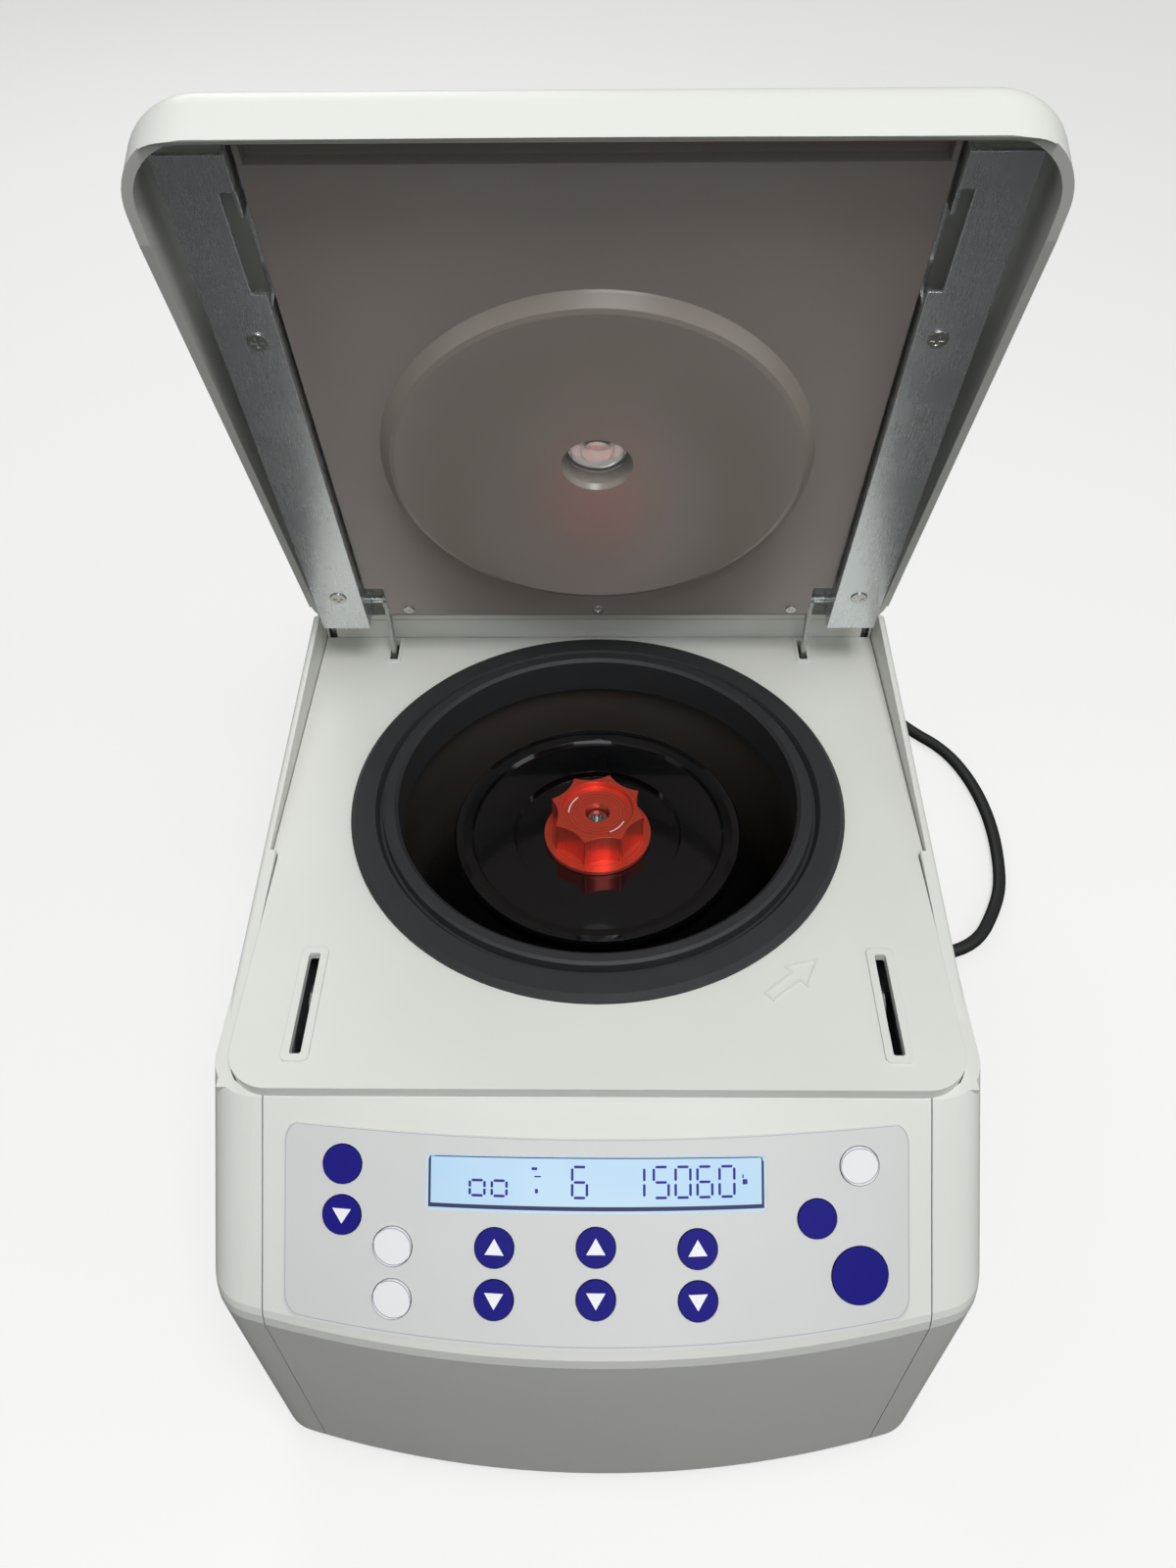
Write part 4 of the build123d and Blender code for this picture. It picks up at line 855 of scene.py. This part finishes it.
def placedScrews(name, radius, height, shank, spots, turn, place, body):
    places = [((x, y, z), turn, plainStretch) for x, y, z in spots]
    obj = copyPiece(name, crossScrew(radius, height, shank), screwSteel, places)
    moveVertices(obj, lambda co: place(co.x, co.y, co.z))
    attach(obj, body)
    return obj


# the screws of the open lid point into it, so they are turned over
railSpots = [(side * x, y, 0.98) for side in (-1, 1) for x, y in ((119.5, -70.0), (122.0, 84.0))]
lidTurn = (math.pi, 0, 0)
railSet = placedScrews("rail_screw_set", 3.9, 0.6, 9.0, railSpots, lidTurn, fromOpenLid, "lid")
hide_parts("rail_screws")
linerSpots = [(x, 100.5, 6.38) for x in (-91.5, 0.0, 93.0)]
placedScrews("liner_screws", 2.6, 0.8, 0.2, linerSpots, lidTurn, fromOpenLid, "lid")
rearSpots = [(side * 136.0, 254.0, z) for side in (-1, 1) for z in (-190.0, -110.0, -30.0)]
rearTurn = (-math.pi / 2, 0, 0)
rearSet = placedScrews("rear_screw_set", 3.2, 1.8, 7.0, rearSpots, rearTurn, fromDeck, "housing")
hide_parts("housing_screws")
print("screws set")


# Two plain arcs printed in the knob's recess
knobMark = {"level": -10.0, "outer": 13.4, "inner": 13.0, "sweeps": ((133.0, 180.0), (295.0, 336.0))}


def makeKnobArcs():
    arcs = []
    for start, end in knobMark["sweeps"]:
        turns = [math.radians(start + (end - start) * n / 12) for n in range(13)]
        reaches = [(knobMark["outer"], t) for t in turns] + [(knobMark["inner"], t) for t in turns[::-1]]
        outline = [(reach * math.cos(t), reach * math.sin(t)) for reach, t in reaches]
        arcs.append(plate([outline], knobMark["level"] - 0.02, knobMark["level"] + 0.04))
    obj = meshObject("knob_arcs", joined(arcs), whiteInk)
    moveVertices(obj, lambda co: fromDeck(co.x, co.y, co.z))
    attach(obj, "knob")


makeKnobArcs()


# Studio
lamps = (
    {"name": "high_softbox", "place": (0.25, -0.8, 2.05), "aim": (0, 0, 0.2), "size": 0.8, "power": 26.0},
    {"name": "front_fill", "place": (0.1, -1.3, 1.1), "aim": (0, 0.1, 0.35), "size": 0.8, "power": 2.5},
    {"name": "left_softbox", "place": (-1.6, -0.5, 1.2), "aim": (0, 0, 0.25), "size": 1.0, "power": 2.5},
    {"name": "rear_softbox", "place": (-0.6, 1.7, 1.5), "aim": (0, 0.2, 0.2), "size": 1.0, "power": 9.0},
    {"name": "right_fill", "place": (1.6, -0.5, 1.0), "aim": (0, 0, 0.25), "size": 1.2, "power": 4.0},
)


def makeFloor():
    floorMesh = bpy.data.meshes.new("floor")
    reach = 6.0
    corners = [(-reach, -reach, 0), (reach, -reach, 0), (reach, reach, 0), (-reach, reach, 0)]
    floorMesh.from_pydata(corners, [], [(0, 1, 2, 3)])
    floor = bpy.data.objects.new("floor", floorMesh)
    bpy.context.collection.objects.link(floor)
    material, tree = startMaterial("pale_floor")
    # the eye sees a nearly white floor that keeps the shadow; the part is lit by a duller one
    lit = addNode(tree, "ShaderNodeBsdfPrincipled", {"Base Color": linear("#F8F8F6"), "Roughness": 0.8})
    glow = addNode(tree, "ShaderNodeEmission", {"Color": linear("#F8F8F7"), "Strength": 1.0})
    pale = addNode(tree, "ShaderNodeMixShader", {
        0: 0.6, 1: lit.outputs["BSDF"], 2: glow.outputs["Emission"],
    })
    dull = addNode(tree, "ShaderNodeBsdfPrincipled", {"Base Color": linear("#3C3B3A"), "Roughness": 0.8})
    eye = addNode(tree, "ShaderNodeLightPath").outputs["Is Camera Ray"]
    mixed = addNode(tree, "ShaderNodeMixShader", {0: eye, 1: dull.outputs["BSDF"], 2: pale.outputs[0]})
    endMaterial(tree, mixed.outputs[0])
    floorMesh.materials.append(material)


def makeWorld():
    world = bpy.data.worlds.new("studio")
    bpy.context.scene.world = world
    world.use_nodes = True
    tree = world.node_tree
    tree.nodes.clear()
    ray = addNode(tree, "ShaderNodeLightPath").outputs
    seen = addNode(tree, "ShaderNodeMath", {
        0: ray["Is Camera Ray"], 1: ray["Is Transmission Ray"],
    }, operation="MAXIMUM")
    # the room's own light: dim at the level of the bench, bright from the ceiling
    way = addNode(tree, "ShaderNodeTexCoord").outputs["Generated"]
    height = addNode(tree, "ShaderNodeSeparateXYZ", {"Vector": way}).outputs["Z"]
    room = addNode(tree, "ShaderNodeMapRange", {"Value": height, "To Min": 0.16, "To Max": 0.38})
    ambient = addNode(tree, "ShaderNodeBackground", {
        "Color": linear("#F4F5F7"), "Strength": room.outputs["Result"],
    })
    # the backdrop has the far floor's tone, so no horizon shows
    white = addNode(tree, "ShaderNodeBackground", {"Color": linear("#DADAD9"), "Strength": 1.0})
    mixed = addNode(tree, "ShaderNodeMixShader", {
        0: seen.outputs[0], 1: ambient.outputs[0], 2: white.outputs[0],
    })
    addNode(tree, "ShaderNodeOutputWorld", {"Surface": mixed.outputs[0]})


def makeLamps():
    for lamp in lamps:
        data = bpy.data.lights.new(lamp["name"], "AREA")
        data.energy = lamp["power"]
        data.size = lamp["size"]
        obj = bpy.data.objects.new(lamp["name"], data)
        obj.location = lamp["place"]
        aim = Vector(lamp["aim"]) - Vector(lamp["place"])
        obj.rotation_euler = aim.to_track_quat("-Z", "Y").to_euler()
        bpy.context.collection.objects.link(obj)


makeFloor()
makeWorld()
makeLamps()
print("studio lit")
